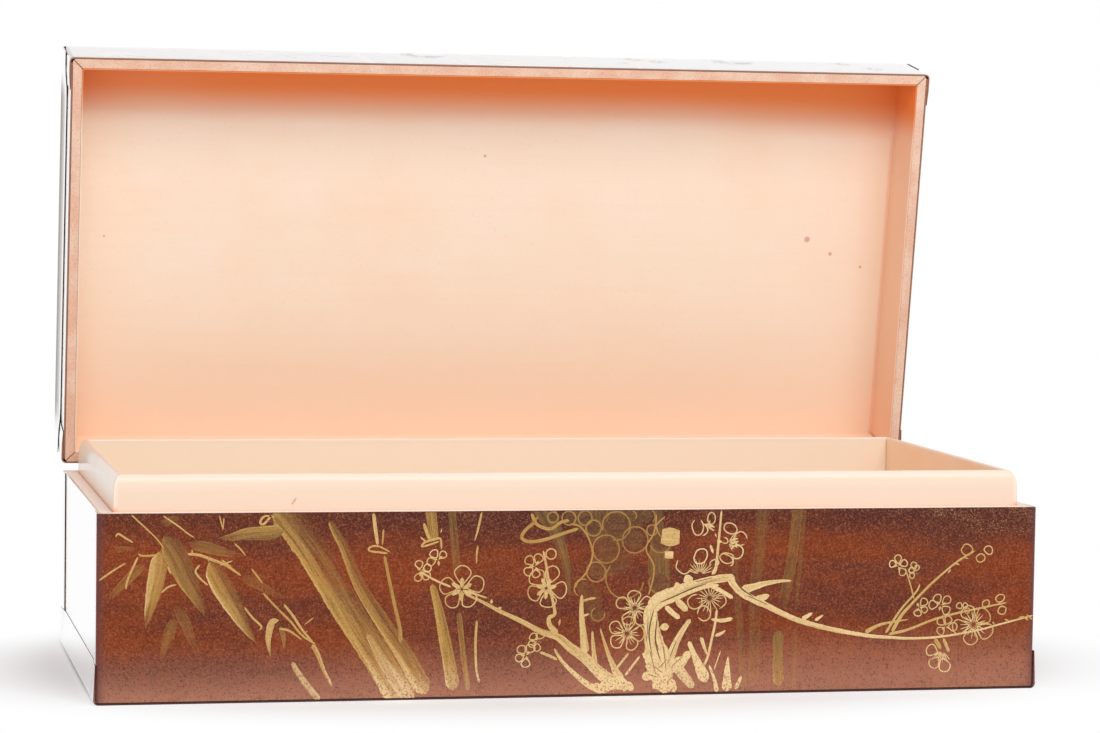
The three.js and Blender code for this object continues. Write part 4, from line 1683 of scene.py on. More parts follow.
for points, width in (
    ([(8, 72), (9, 73.5), (11.5, 72), (15.5, 69.5)], 0.8),
    ([(14.5, 81.5), (21.5, 75), (25.5, 71), (28.5, 67)], 0.6),
    ([(28, 81), (34.5, 76.5), (39, 73), (41.5, 71.5)], 0.6),
    ([(52, 81), (53.5, 75)], 0.6),
    ([(54, 80), (53.5, 74.5)], 0.6),
    ([(58.5, 69), (61.5, 66), (63.5, 63.5)], 0.6),
    ([(17.5, 65), (19, 64), (23, 64), (26, 64.5)], 0.8),
    ([(17.5, 63.5), (15, 58), (13, 53), (12.5, 49.5)], 0.8),
    ([(1, 53.5), (6, 57), (12.5, 61)], 0.7),
    ([(30, 59.5), (31.5, 56)], 0.8),
    ([(38.5, 64.5), (43.5, 64), (49, 62), (55, 59.5), (61.5, 55)], 1.1),
    ([(53, 62), (57.5, 58.5)], 0.7),
    ([(52.5, 59.5), (58, 61.5)], 0.7),
    ([(44, 60), (42, 57), (44.5, 53.5), (47.5, 51)], 0.8),
    ([(27.5, 48), (30.5, 50.5), (34, 51.5)], 0.7),
    ([(66, 58), (69, 54), (71, 51.5)], 0.7),
    ([(71, 47.5), (76.5, 41.5), (83, 35), (88, 29), (94, 25)], 0.8),
    ([(80, 42.5), (84, 37.5), (88, 31.5), (93, 25.5)], 1.0),
    ([(93, 36.5), (89, 33.5)], 0.5),
    ([(90.5, 31), (88.5, 29)], 0.5),
    ([(63, 41.5), (66.5, 37), (70.5, 33), (69.5, 31.5)], 0.8),
    ([(78, 32), (82.5, 31), (88, 27)], 0.8),
    ([(74.5, 81), (71, 77), (69.5, 78), (71.5, 80.5), (76, 80)], 0.9),
    ([(47.5, 63.5), (47.5, 61)], 0.8),
    ([(40.5, 66.5), (40.5, 64)], 0.7),
    ([(118.5, 81.5), (119.5, 74), (120.5, 67.5)], 1.4),
    ([(123, 74.5), (122.5, 67.5)], 0.9),
    ([(125, 64), (117.5, 65), (116.5, 66), (118, 67), (121, 67), (126, 64.5)], 0.8),
    ([(140.5, 77), (142, 72.5), (143.5, 69.5)], 1.3),
    ([(139, 71), (142, 68.5)], 0.8),
    ([(139.5, 66.5), (141, 68.5), (146, 70), (148, 70), (148.5, 65.5)], 0.9),
    ([(139.5, 66.5), (143, 67.5), (147.5, 69)], 0.8),
    ([(148.5, 74.5), (148, 72.5)], 0.7),
    ([(164.5, 34.5), (164, 24.5), (164.5, 13.5), (166, 7)], 1.0),
    ([(166, 81.5), (164.5, 74.5), (163, 69)], 0.8),
    ([(164.5, 67), (164, 63), (164, 59)], 0.7),
):
    bamboo.stroke(points, [width, width * 1.15, width * 0.8], 0.6)

# %% [markdown]
# ## Gilding: plum blossom and pine in the middle
#
# A bare plum branch climbs from the foot. Its blossoms are outlines of five petals round a heart
# of short fat strokes. Behind it stands an old pine, which the painter gave as an olive wash with
# rings of bark drawn over it. On the right of it grows a second, knotted plum trunk, whose
# blossoms have stamens as thin as hairs.

# %% Plum branch and pine bark
plum = Painting("gilt_plum", 23, over=bamboo)
for points, width, cover in (
    ([(191, 90), (194, 81.8), (199, 72.5), (203.8, 58.6), (205.4, 45)], [10, 9, 6, 3.5, 2], 0.6),
    ([(222, 104), (222, 82), (221, 70), (219, 64)], [40, 38, 34, 26], 0.4),
    ([(245, 86), (245, 72.5), (245.5, 58.6), (246.5, 43)], [2.5, 5, 10, 8], 0.6),
    ([(214, 51), (216, 42), (217, 32)], [7, 8, 5], 0.2),
    ([(214, 60), (224, 59), (234, 61)], [10, 12, 8], 0.24),
):
    plum.stroke(points, width, 0.08, cover, 0.3)
for centre, radius, *arc in (
    ((197.6, 79), 2.4), ((204.7, 78.6), 3.1), ((211.9, 78.6), 3.2),
    ((215.8, 74.2), 3.5), ((221.5, 64.9), 6.2), ((226, 75), 6.4, 120, 425),
    ((234.5, 68.8), 5.8), ((217.2, 54.9), 4.4), ((230.3, 52), 9, 40, 250),
    ((242.1, 73), 2.4), ((246, 68), 5, 100, 265), ((211.5, 47.9), 4, 10, 190),
    ((218.4, 36.4), 3.1, 60, 330), ((246, 50), 5, 100, 230), ((240, 79), 3.4, 180, 350),
    ((233, 79.5), 2, 200, 340),
):
    if radius < 8:
        ends = [(centre[0] - 0.8 * radius, centre[1]), (centre[0] + 0.8 * radius, centre[1])]
        plum.stroke(ends, 1.6 * radius, 0.04, 0.36, 0.2)
    plum.ring(centre, radius, 0.65, 0.34, 0.85, *arc)
for points, width in (
    ([(189.5, 77), (185, 73), (184, 70), (187, 68.5), (193, 69), (201, 71.5), (209, 74)], 1.5),
    ([(188, 81), (190.5, 76), (196.5, 74), (201.5, 77), (205, 77.5)], 1.4),
    ([(186.5, 74), (189.5, 77.5), (191, 79.5)], 1.0),
    ([(205, 76), (209.5, 75), (213.5, 70), (215.5, 62.5), (213, 55), (209, 50.5), (208, 48)], 0.8),
    ([(244, 80), (243, 72), (239.5, 65), (243, 58), (243, 52), (241, 44.5)], 0.7),
    ([(248, 79), (244, 75), (246, 70)], 0.6),
):
    plum.stroke(points, width, 0.5, 0.85, 0.25)
plum.stroke([(246.4, 70.4), (250, 70), (254.6, 69.8)], [7.2, 8.2, 6.8], 0.66, 1, 0.2, blunt=0.86)
plum.stroke([(248, 62.1), (251.9, 62)], 3.3, 0.8, 1, 0.2, blunt=0.9)

plum.stroke([(159, 46), (166.5, 42.5), (174, 38.5), (184.5, 33.5), (193, 29), (200.5, 26.5),
             (206, 22), (213, 17), (219, 11), (225, 6.5), (230, 4)],
            [0.9, 1.4, 2, 2.6, 3.8, 4.6, 5.4, 6.4], 0.7, 1, 0.3)
plum.stroke([(193.5, 64.5), (195, 57.5), (196.5, 49), (198.5, 40.5), (199, 36.5), (196.5, 35),
             (197, 31.5), (200.5, 28)], [0.9, 1.1, 1.4, 1.9, 2.8], 0.7)
plum.stroke([(199, 21.5), (202.5, 16), (208.5, 10), (215, 5), (221.5, 2.2)], [0.9, 2, 3.4], 0.7,
            1, 0.25)
for points, width in (
    ([(171, 43.5), (170.6, 41.4)], [1.0, 2.2]), ([(175.4, 39.8), (173.6, 39.2)], [1.2, 2.0]),
    ([(139, 56), (146, 52), (153, 49)], 0.9), ([(201.5, 34.5), (201, 31.5)], 0.9),
    ([(192.5, 20), (196.5, 18.5), (200.5, 16.5)], 1.2),
    ([(202.5, 12.4), (202.2, 10.8)], [1.6, 2.2]),
    ([(211, 45), (211, 37), (212, 27), (213, 19)], [1.2, 2.6, 4.2]),
    ([(211, 42), (214, 43), (217.5, 43.5)], 1.0), ([(211.5, 35.5), (214.5, 36.5)], 1.0),
    ([(216, 29), (216.5, 22), (217.5, 14)], [0.9, 2.4]),
    ([(219.5, 30), (223, 19.5), (226.5, 11.5), (229.5, 6)], [0.7, 1.6, 3, 5.4]),
    ([(232.5, 19), (226.5, 11.5)], 1.0), ([(237.5, 17.5), (231, 9)], 1.0),
    ([(222.5, 12), (222.5, 10)], 0.9), ([(219, 2.5), (226, 6), (232, 5.5)], 5.2),
    ([(225, 6.5), (230, 5), (231, 2)], 5.2), ([(232, 6.5), (234.5, 2)], 2.9),
    ([(217.5, 6), (221, 1.8)], 2.6), ([(226, 2.6), (226, 0.9)], 1.4),
    ([(169, 44), (166, 45), (160, 47.5)], 0.8),
):
    plum.stroke(points, width, 0.7, 1, 0.2)

plum.petals((157.6, 48), 9.2, 88)
plum.spokes((157.6, 48), 9.2, 88, 6)
plum.petals((195, 48), 8.8, 62)
plum.spokes((195, 48), 8.8, 62, 7)
for centre, radius, turn, missing in (
    ((139.5, 56.3), 4.6, 100, (1,)), ((147, 60.9), 4.6, 120, (2, 3)),
    ((190, 57.6), 5.2, 140, (3,)), ((191.3, 24.9), 4.2, 60, (4,)), ((186.5, 18.6), 5, 130, (3,)),
):
    plum.petals(centre, radius, turn, 5, missing)
    plum.spokes(centre, radius, turn + 40, 3)
plum.ring((197, 63), 2.3)

# %% The knotted trunk
trunk = Painting("gilt_trunk", 37, bamboo, 0.55)
for points, width, cover in (
    ([(293, 90), (291, 64.5), (289, 42)], 5.5, 0.3),
    ([(309, 90), (306, 59.5), (302, 38)], 4.9, 0.4),
    ([(312, 88), (310, 59.5), (308, 36)], 1.8, 0.24),
    ([(279, 62), (282.5, 33.5), (285, 2)], 3.1, 0.3),
    ([(289.5, 49), (289.5, 28.5), (289.5, 3)], 4.9, 0.24),
    ([(300.5, 28), (300.5, 14), (301, 3)], 4.8, 0.72), ([(308.5, 30), (308, 1)], 1.8, 0.3),
):
    trunk.stroke(points, width, 0.15, cover, 0.35)

for points, width, dry in (
    ([(250, 0.5), (248.1, 7), (246.6, 13), (245, 18.7), (243.6, 24.4), (242.6, 30.1), (242, 35.7),
      (242.6, 41)], [6, 9, 11.5, 11, 8.4, 7.2, 6.4, 5], 0.4),
    ([(241.5, 38.5), (244.5, 42), (248.7, 44), (254.4, 46), (260.2, 48.2), (267.1, 50.2),
      (274, 51.4), (280.1, 51.9)], [4.6, 5.4, 5.4, 5, 4.4, 3.6, 3.4, 3.4], 0.35),
    ([(243, 37), (247, 40.5), (251.6, 42.4), (257.3, 45), (261.9, 46.6), (267.1, 47.9),
      (272.9, 48.4)], [3, 3, 2.6, 2, 1.4], 0.3),
    ([(277.5, 52.6), (279.6, 48.6), (284, 44.5), (289.3, 41.6), (295.2, 38.9), (301, 36),
      (310.5, 32), (325.5, 28), (342, 25), (353, 24), (362, 23.5), (375.5, 24), (392, 26.5),
      (404.5, 29.5), (419, 33)], [3.4, 3.3, 3.2, 2.8, 2.4, 2.2, 1.8, 1.4, 1.1, 0.9, 0.8, 0.7], 0.3),
    ([(256.7, 50.2), (261, 51.8)], 6.2, 0.15), ([(252.4, 48), (255.5, 48.8)], 3.8, 0.15),
    ([(268.5, 48.6), (274.7, 45.4), (279.4, 42.5)], 1.8, 0.2),
    ([(283, 46), (288.1, 47.3), (293.9, 48.9), (300.7, 49.9), (306, 50)], [4.2, 3, 1.6, 0.8], 0.2),
    ([(288.7, 41.9), (292.2, 42.4), (296, 43.8)], [2.6, 3, 2], 0.15),
    ([(311, 32.6), (316, 35.6)], [2.4, 1], 0.1), ([(317, 32), (321, 34.6)], [1.6, 0.8], 0.1),
    ([(273.4, 81.5), (272.7, 72), (272, 63.5), (271.3, 56.2), (269.6, 53.2)], [0.9, 1.1, 1.8],
     0.15),
    ([(268.5, 66.5), (270, 62.5)], 1.1, 0.1), ([(271.4, 68), (274, 67.6)], 1.6, 0.1),
    ([(253.4, 42.4), (256.3, 39.5), (258.8, 37.2)], 3, 0.25),
    ([(248.6, 39.5), (252.3, 36.1), (255.4, 33.9)], 2.3, 0.25),
    ([(246.3, 30.1), (250.6, 30.4)], 3.4, 0.15),
    ([(260.1, 33.6), (256.5, 28.2), (253.7, 23.1), (251.5, 17.5), (249.2, 13)], [1.8, 3.2, 5], 0.3),
    ([(272, 37.6), (271.5, 31.9), (269.9, 24), (268.3, 16.7), (266.4, 12.4)], 1.1, 0.1),
    ([(269.5, 33.4), (274.4, 32.7), (279.5, 33.6)], [0.9, 1.7, 1.6], 0.15),
    ([(271.4, 26), (273.9, 26.8), (276.4, 28.4)], [1.7, 1.4, 0.7], 0.15),
    ([(265, 25.6), (266.4, 21.8), (268, 17.5)], [1.8, 1.4, 0.8], 0.5),
    ([(259.5, 23.8), (262.5, 16.8), (265.2, 11.1), (267.9, 5.4)], [1.8, 2.8, 4.6, 5.6], 0.25),
    ([(269, 13), (271.4, 7), (272.8, 1)], [1, 1.4, 2.4], 0.2),
    ([(274.2, 19.4), (272.4, 14.3), (271.3, 11)], 0.5, 0.1),
    ([(277.6, 16.8), (277.3, 9.7), (277.3, 1.2)], [0.6, 2.8, 5.4], 0.2),
    ([(283.9, 8), (281.2, 2)], [1.2, 2], 0.3), ([(238.6, 18.6), (245.1, 15.9)], 3.6, 0.25),
    ([(238.6, 7.6), (244.7, 10.3)], 4, 0.2), ([(243.6, 3.2), (248.2, 7.4)], 4.6, 0.2),
    ([(251.9, 7.3), (253.4, 1.2)], 3.4, 0.3), ([(260, 19.5), (257.3, 15.2), (254, 10)], 3.4, 0.3),
    ([(253.5, 12.4), (258, 7.2), (262.4, 3.2)], 3.2, 0.3), ([(256.4, 17), (250.5, 9.5)], 3.4, 0.3),
    ([(255.5, 13.6), (261.4, 5.6)], 1.6, 0.3), ([(240, 13), (247, 12.6)], 4.2, 0.4),
):
    trunk.stroke(points, width, 0.9, 1, dry)

for points in (
    [(243.5, 38), (241.5, 28), (243, 18)], [(245, 34), (244.5, 24), (247, 15)],
    [(241, 33), (240.5, 24)], [(252.7, 43.6), (260.2, 46.9), (267.4, 49.2)],
    [(246, 41), (252, 43.4), (259, 46.4)], [(242, 20), (245, 9)], [(248, 22), (249.6, 11)],
    [(250, 6), (256, 10.5)], [(262, 50), (270, 51.8)], [(280, 50.6), (283.4, 46.6), (289, 42.8)],
    [(246, 8), (241, 9.5)], [(252, 13), (257, 17)], [(254, 24), (251, 17)], [(244, 26), (246, 20)],
    [(243, 13.5), (248, 10)], [(250, 16), (246, 12)], [(286, 43.6), (295, 39.6)],
):
    trunk.stroke(points, [0.35, 0.7, 0.3], 0.0, 0.75, 0.35)

for points, width in (
    ([(340.5, 26.5), (348, 30), (360.5, 32)], [1.9, 1.3, 0.6]),
    ([(351.5, 25.5), (360.5, 27.5), (373, 32), (385.5, 35), (406.5, 39)], [1.3, 0.8]),
    ([(353, 26.5), (357, 33.5), (361.5, 38.5), (371, 48), (382.5, 57.5), (391, 62.5)],
     [1.7, 1.1, 0.7]),
    ([(350, 26), (356.5, 36), (364, 44.5), (365.5, 48)], [1.2, 0.6]),
    ([(363, 41), (361, 48), (358.5, 55)], 0.6), ([(373, 23.4), (376, 18.5)], 1.8),
    ([(377, 23.4), (380, 17)], 1.4), ([(378.5, 52.5), (380, 54.5)], 0.9),
    ([(381.5, 57), (384, 56.3)], 0.9), ([(386, 59.5), (388, 59)], 0.8),
    ([(400, 30.6), (401, 29)], 0.9), ([(405.5, 31.6), (408, 30.6)], 0.8),
    ([(412, 31.6), (414.5, 32.4), (417, 30.8)], 0.9), ([(416, 33.5), (419, 31)], 0.8),
):
    trunk.stroke(points, width, 0.62)

for centre, radius, turn in (
    ((234.8, 38.8), 7.6, 90), ((231.5, 27.5), 8, 150), ((391.1, 29.3), 8.8, 40),
):
    trunk.petals(centre, radius, turn)
    trunk.stamens(centre, radius, turn)
trunk.stamens((264.1, 53.2), 9.4, 15, 160, 12)
trunk.stamens((268.7, 42.7), 9, 20, 360, 18)
trunk.stamens((276.6, 67.2), 7, 300, 130, 8)
for centre, radius, *arc in (
    ((264.3, 61.2), 3.5), ((256.9, 57.6), 3.8, 70, 260), ((270.6, 58), 2.1, 300, 540),
    ((262.1, 41.2), 3.5, 20, 340), ((266.2, 36), 3.5, 100, 440), ((273.4, 41), 3.4, 220, 470),
    ((277.7, 73.4), 3.2), ((282.3, 69), 3.1, 190, 500), ((280.8, 63), 3, 100, 400),
    ((276.2, 60.4), 3.1), ((275.6, 59.4), 3.6, 150, 330), ((262.8, 74.3), 3.5, 30, 330),
    ((268.9, 78), 2.5), ((264.6, 73), 2.8, 180, 340), ((275, 68.2), 1.7, 60, 300),
):
    trunk.ring(centre, radius, 0.55, 0.85, 1, *arc, free=0.3)
for points in (
    [(268.4, 77.2), (267.6, 74.6), (270.4, 72.4)], [(265.6, 75.4), (268, 75), (270.6, 74)],
    [(277.4, 68.4), (281.4, 69)], [(277.6, 67), (281.6, 67.8)], [(277.6, 66), (281, 65.4)],
    [(270.6, 71.4), (271.4, 69.6)],
):
    trunk.stroke(points, [0.7, 1, 0.7], 0.85)
trunk.petals((376, 16), 7.2, 225, 5, (2, 3))
trunk.stamens((377, 17.5), 7, 195, 130, 9)
for centre, radius, turn, missing in (
    ((355.3, 56), 4.6, 20, (3,)), ((363.4, 53), 3.2, 70, (3, 4)), ((365.5, 37.4), 4.2, 330, (2, 3)),
    ((375.4, 38.2), 5, 110, (2,)), ((378, 28.6), 4.8, 70, (3,)), ((386, 36.2), 3.4, 60, (2, 3)),
):
    trunk.petals(centre, radius, turn, 5, missing)
    trunk.spokes(centre, radius, turn + 30, 3)
for centre, radius in (
    ((387.3, 63), 2.5), ((397.4, 62.8), 2.2), ((393.7, 59.2), 2), ((403.4, 41), 2.3),
    ((404.4, 35.6), 2), ((396.8, 38.6), 2), ((362.6, 56.2), 1.6),
):
    trunk.ring(centre, radius, 0.55, free=0.4)

# %% Onto the front
SIDE_MARGIN = 0.4
FOOT_MARGIN = 1.0
RIM_MARGIN = 0.35
face_width = 2 * half_length / MM
front_of_base = Matrix.Translation((-half_length, -half_depth, 0)) @ UPRIGHT
front_high = (face_width - SIDE_MARGIN, base_height / MM - RIM_MARGIN)
for painting in (bamboo, plum, trunk):
    painting.onto(front_of_base, "base", (SIDE_MARGIN, FOOT_MARGIN), front_high)

# %% [markdown]
# ## Gilding: the lid
#
# Strokes that are cut off at the rim of the base go on over the lid's front, so that the painting
# closes when the lid does. The photograph doesn't show the lid's outside. What is on its top is a
# guess in the same manner: bamboo at the left, the pine's crown in the middle, and a plum branch
# that comes in from the right.

# %% More motifs
class LidPainting(Painting):
    """A painting with the motifs that only the lid has."""

    def needles(self, centre, radius, turn_degrees, spread_degrees=200, count=26):
        """A fan of pine needles."""
        for index in range(count):
            angle = math.radians(turn_degrees + spread_degrees * (index / (count - 1) - 0.5))
            reach = radius * self.chance.uniform(0.82, 1.05)
            start = placed(centre, angle, 0.1 * reach)
            tip = placed(centre, angle, reach)
            self.stroke([start, tip], [0.7, 0.4], 0.6, dry=0.2)

    def leaves(self, start, turns_degrees, length, width, cover=0.95, tone=0.5):
        """Bamboo leaves that spring from one point."""
        for turn in turns_degrees:
            angle = math.radians(turn)
            reach = length * self.chance.uniform(0.85, 1.12)
            sag = reach * self.chance.uniform(-0.06, 0.06)
            points = []
            for share in (0.06, 0.3, 0.55, 0.8, 1):
                side = sag * math.sin(math.pi * share)
                points.append(placed(start, angle, share * reach, side))
            self.leaf(points, width * self.chance.uniform(0.85, 1.1), tone, cover, 0.4, 0.2)

    def blossom(self, centre, radius, turn_degrees, stamens=True):
        self.petals(centre, radius, turn_degrees)
        if stamens:
            self.stamens(centre, radius, turn_degrees)
        else:
            self.spokes(centre, radius, turn_degrees, 6)

    def bark(self, rings):
        for across, up, radius in rings:
            self.ring((across, up), radius, 0.65, 0.5, 0.85)


# %% The lid's front
lid_front = LidPainting("gilt_lid_front", 41)
for points, width, cover in (
    ([(222, -12), (222, 18), (225, 48)], [42, 44, 50], 0.34),
    ([(196, -10), (191, 18), (184, 46)], [10, 9], 0.55),
    ([(244, -10), (248, 18), (256, 46)], [10, 11], 0.55),
    ([(152, -10), (151, 18), (149, 48)], [3.4, 3.2], 0.4),
    ([(293.5, -10), (294.5, 18), (297, 48)], 5.5, 0.36),
    ([(310, -10), (312, 18), (315, 48)], 4.9, 0.5),
):
    lid_front.stroke(points, width, 0.1, cover, 0.3)
lid_front.stroke([(83, -6), (70.5, 11), (62, 24), (52, 42)], [12.6, 12.2, 11.5], 0.42, 0.95,
                 0.6, 0.6)
lid_front.stroke([(143.3, -4), (141.5, 12), (139, 26), (136, 42)], [4.6, 4.2], 0.42, 0.9, 0.5)
for points, width in (
    ([(72, 8.5), (66, 11.5), (60.5, 9.5)], 0.9),
    ([(118.4, -2), (117, 11), (114.5, 24)], [1.3, 0.8]),
    ([(14.8, -2), (10, 6), (7, 17)], 0.6), ([(28, -2), (24, 8), (23, 20)], 0.6),
    ([(52, -2), (48, 6), (40, 13), (27, 18)], 0.8), ([(166, -2), (167, 9)], 0.8),
    ([(188, -2), (184, 7), (186, 14), (193, 16)], 1.4), ([(136, 14.5), (141, 17), (146, 16)], 0.8),
    ([(213, -2), (210, 8), (214, 17), (211, 26), (215, 38)], 0.7),
    ([(248, -2), (251, 10), (247, 21), (253, 38)], 0.7),
    ([(273.6, -2), (274.5, 10), (278, 21), (276, 30)], [1.5, 0.8]),
    ([(276, 16), (283, 23), (287, 31)], 0.8),
    ([(344, 40), (352, 28), (364, 20), (379, 15), (396, 13)], [2.6, 1.9, 1.3, 0.7]),
    ([(361, 21.5), (371, 27), (384, 29)], [1.1, 0.6]), ([(372, 17), (374, 9)], 0.8),
):
    lid_front.stroke(points, width, 0.62)
lid_front.bark(((203, 5, 5), (211, 13, 4.4), (222, 4, 6), (233, 9, 5.2), (241, 3, 3.4),
                (226, 17, 6.6), (212, 25, 6), (238, 22, 5.6), (226, 31, 5), (200, 17, 4.2),
                (199, 29, 5.4), (245, 32, 4.6), (190, 24, 3.2)))
lid_front.leaves((24, 19), (218, 248, 276, 312), 20, 5.4)
lid_front.leaves((97, 35), (205, 232, 262, 296), 24, 6.2, 0.9, 0.4)
lid_front.leaves((120, 25), (188, 338), 17, 4.4, 0.5, 0.3)
for centre, radius, turn in (((277, 30), 7, 30), ((287.5, 24), 5.6, 80), ((269, 17), 5.2, 140),
                             ((396, 15), 7.2, 60), ((383.5, 28), 5.8, 20), ((374.5, 6.5), 5, 200)):
    lid_front.blossom(centre, radius, turn, radius > 5.5)
lid_front.needles((172, 31), 12, 235)
lid_front.needles((327, 30), 12.5, 250)

# %% The lid's top
lid_face = LidPainting("gilt_lid_top", 53)
for points, width, cover in (
    ([(225, -12), (228, 22), (243, 58), (262, 84), (282, 102)], [50, 44, 36, 26, 16], 0.34),
    ([(184, -10), (196, 22), (216, 62), (240, 96)], [9, 8, 5], 0.5),
    ([(256, -10), (263, 22), (278, 56), (296, 84)], [10, 8, 5], 0.5),
    ([(149, -10), (147, 60), (150, 130)], [3.2, 2.6], 0.35),
    ([(297, -10), (301, 40)], 5.2, 0.3), ([(104, 196), (101, 120), (97, 70)], 6, 0.3),
):
    lid_face.stroke(points, width, 0.1, cover, 0.3)
lid_face.stroke([(58, -10), (44, 34), (37, 86), (33, 142), (32, 204)], [11.5, 11, 10, 9.4],
                0.42, 0.95, 0.6, 0.6)
lid_face.stroke([(136.5, -6), (127, 36), (121, 80), (118, 118)], [4.4, 4.8, 3.6], 0.45, 0.9,
                0.5, 0.3)
lid_face.stroke([(432, 44), (404, 56), (374, 62), (345, 76), (320, 98), (298, 126), (282, 160)],
                [10, 8.4, 6.6, 5.2, 4, 2.6, 1.4], 0.72, 1, 0.55)
for points, width in (
    ([(50, 44), (40, 47.5), (34, 45.5)], 1.0), ([(44, 101), (36, 104.5), (31, 102.5)], 1.0),
    ([(40, 152), (33, 155.5), (28, 153.5)], 1.0),
    ([(41, 47), (54, 62), (70, 72), (86, 77)], [1.3, 0.8]),
    ([(36, 104), (52, 122), (66, 132), (78, 136)], [1.3, 0.8]),
    ([(31, 104), (20, 114), (12, 128)], 0.9), ([(123, 66), (136, 76), (150, 80)], 0.9),
    ([(262, 86), (244, 104), (224, 116), (196, 122)], [4, 3, 1.8, 1]),
    ([(282, 104), (288, 124), (284, 146), (270, 164)], [4.4, 3, 2, 1.2]),
    ([(244, 104), (250, 124), (246, 140)], [2, 1]),
    ([(224, 116), (214, 132), (202, 142)], [1.8, 1]),
    ([(374, 62), (384, 84), (388, 104), (398, 122)], [2.8, 1.8, 1, 0.8]),
    ([(345, 76), (351, 98), (350, 118), (342, 140)], [2.6, 1.6, 1]),
    ([(404, 56), (398, 38), (386, 24), (368, 16)], [2.8, 1.6, 0.9]), ([(386, 95), (372, 110)], 0.9),
    ([(351, 100), (364, 114), (370, 130)], 0.9), ([(320, 98), (306, 90), (300, 78)], [1.6, 0.8]),
    ([(372, 64), (364, 48), (350, 40)], [1.4, 0.8]),
):
    lid_face.stroke(points, width, 0.64)
lid_face.bark(((206, 8, 5.6), (220, 5, 6.4), (236, 10, 6), (250, 6, 5), (212, 22, 5.4),
               (226, 22, 6.6),
               (243, 24, 6), (222, 38, 6), (237, 40, 6.4), (253, 42, 5.4), (233, 56, 5.4),
               (248, 60, 6), (264, 62, 5), (249, 78, 5), (263, 80, 5), (274, 92, 4)))
for start, turns, length in (
    ((86, 77), (250, 286, 318, 352, 30), 30), ((78, 136), (238, 274, 308, 345), 30),
    ((12, 128), (74, 108, 238), 22), ((150, 80), (268, 304, 338), 24), ((62, 68), (262, 292), 26),
    ((118, 120), (60, 96, 130), 26), ((56, 126), (72, 104), 22),
):
    lid_face.leaves(start, turns, length, 0.25 * length, 0.95, 0.48)
for centre, radius, turn in (
    ((196, 122), 17, 160), ((202, 144), 16, 120), ((246, 142), 17, 80), ((270, 165), 17, 110),
    ((226, 124), 15, 95), ((284, 138), 15, 30), ((252, 112), 14, 60), ((222, 168), 15, 90),
):
    lid_face.needles(centre, radius, turn)
for centre, radius, turn in (
    ((398, 123), 8.6, 40), ((372, 111), 7.6, 100), ((342, 141), 8.6, 20), ((370, 131), 7.4, 70),
    ((350, 108), 6.4, 0), ((368, 15), 8.4, 30), ((350, 39), 7.6, 80), ((388, 96), 6, 140),
    ((300, 76), 7.4, 20), ((282, 161), 5, 60), ((316, 108), 6.6, 120), ((392, 36), 6.6, 10),
    ((334, 92), 7.2, 50),
):
    lid_face.blossom(centre, radius, turn, radius > 6.5)
for centre, radius in (((404, 132), 2.2), ((336, 152), 2.4), ((348, 152), 1.9), ((356, 8), 2.2),
                       ((342, 33), 2), ((277, 171), 2.2), ((292, 68), 2), ((410, 118), 1.9)):
    lid_face.ring(centre, radius, 0.55)

# %% Onto the lid
LID_FOOT_MARGIN = 0.4
LID_CORNER_MARGIN = 1.2
TOP_END_MARGIN = 2.5
TOP_SIDE_MARGIN = 1.0
lid_height = lid_tray.height / MM
lid_depth = 2 * half_depth / MM
over_rim = Matrix.Translation((-half_length, -half_depth, lid_rim)) @ UPRIGHT
over_top = Matrix.Translation((-half_length, -half_depth, lid_top))
lid_front.onto(swing_open @ over_rim, "lid", (SIDE_MARGIN, LID_FOOT_MARGIN),
               (face_width - SIDE_MARGIN, lid_height - LID_CORNER_MARGIN))
lid_face.onto(swing_open @ over_top, "lid", (TOP_END_MARGIN, TOP_SIDE_MARGIN),
              (face_width - TOP_END_MARGIN, lid_depth - TOP_SIDE_MARGIN))

# %% [markdown]
# ## Floor, light and camera
#
# A pale floor and a white room suit a dark box. One large soft lamp hangs in front and above, so
# the lid's upper wall shades the top of its own panel, and the room itself fills the shadows. The
# floor fades into plain white away from the box, for the camera and for reflections, so there is
# no horizon. The camera stands where the photographer stood: its place, turn and lens were worked
# out from the corners of the box.

# %% Floor and room
FLOOR_HALF = 6.0
FLOOR_WHITE = paint_colour(251, 252, 253)
WHITE = (1, 1, 1, 1)
ROOM_STRENGTH = 0.62
FADE_START = 0.25
FADE_SOFTNESS = 0.07
FADE_SHAPE = (1, 1.7, 1)


def direct_rays(nodes, kinds):
    """1 for rays of these kinds, such as the camera's own, and 0 for light that bounces about."""
    shares = [nodes.node("ShaderNodeLightPath", {}, {}, kind) for kind in kinds]
    return sum(shares[1:], shares[0]).clamped()


corners = [(across * FLOOR_HALF, away * FLOOR_HALF, 0)
           for across, away in ((-1, -1), (1, -1), (1, 1), (-1, 1))]
floor = helper_mesh("floor", corners, [], [(0, 1, 2, 3)])
pale_floor = Finish("pale_floor", "base")
spread = pale_floor.stretched(pale_floor.place, FADE_SHAPE)
distance = pale_floor.vector("LENGTH", spread, (0, 0, 0), "Value")
direct = direct_rays(pale_floor, ("Is Camera Ray", "Is Glossy Ray"))
share_white = distance.above(FADE_START, FADE_SOFTNESS) * direct
plain = pale_floor.node("ShaderNodeBsdfDiffuse", {}, {"Color": FLOOR_WHITE})
glow = pale_floor.node("ShaderNodeEmission", {}, {"Color": WHITE, "Strength": 1.0})
blend = pale_floor.node("ShaderNodeMixShader", {}, {0: share_white, 1: plain, 2: glow})
pale_floor.ends_in("ShaderNodeOutputMaterial", blend)
give_finish(floor.data, pale_floor.material)
floor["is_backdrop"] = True

world = bpy.data.worlds.new("white_room")
world.use_nodes = True
world.node_tree.nodes.clear()
room = Nodes(world.node_tree)
direct = direct_rays(room, ("Is Camera Ray", "Is Glossy Ray", "Is Transmission Ray"))
strength = ROOM_STRENGTH + direct * (1 - ROOM_STRENGTH)
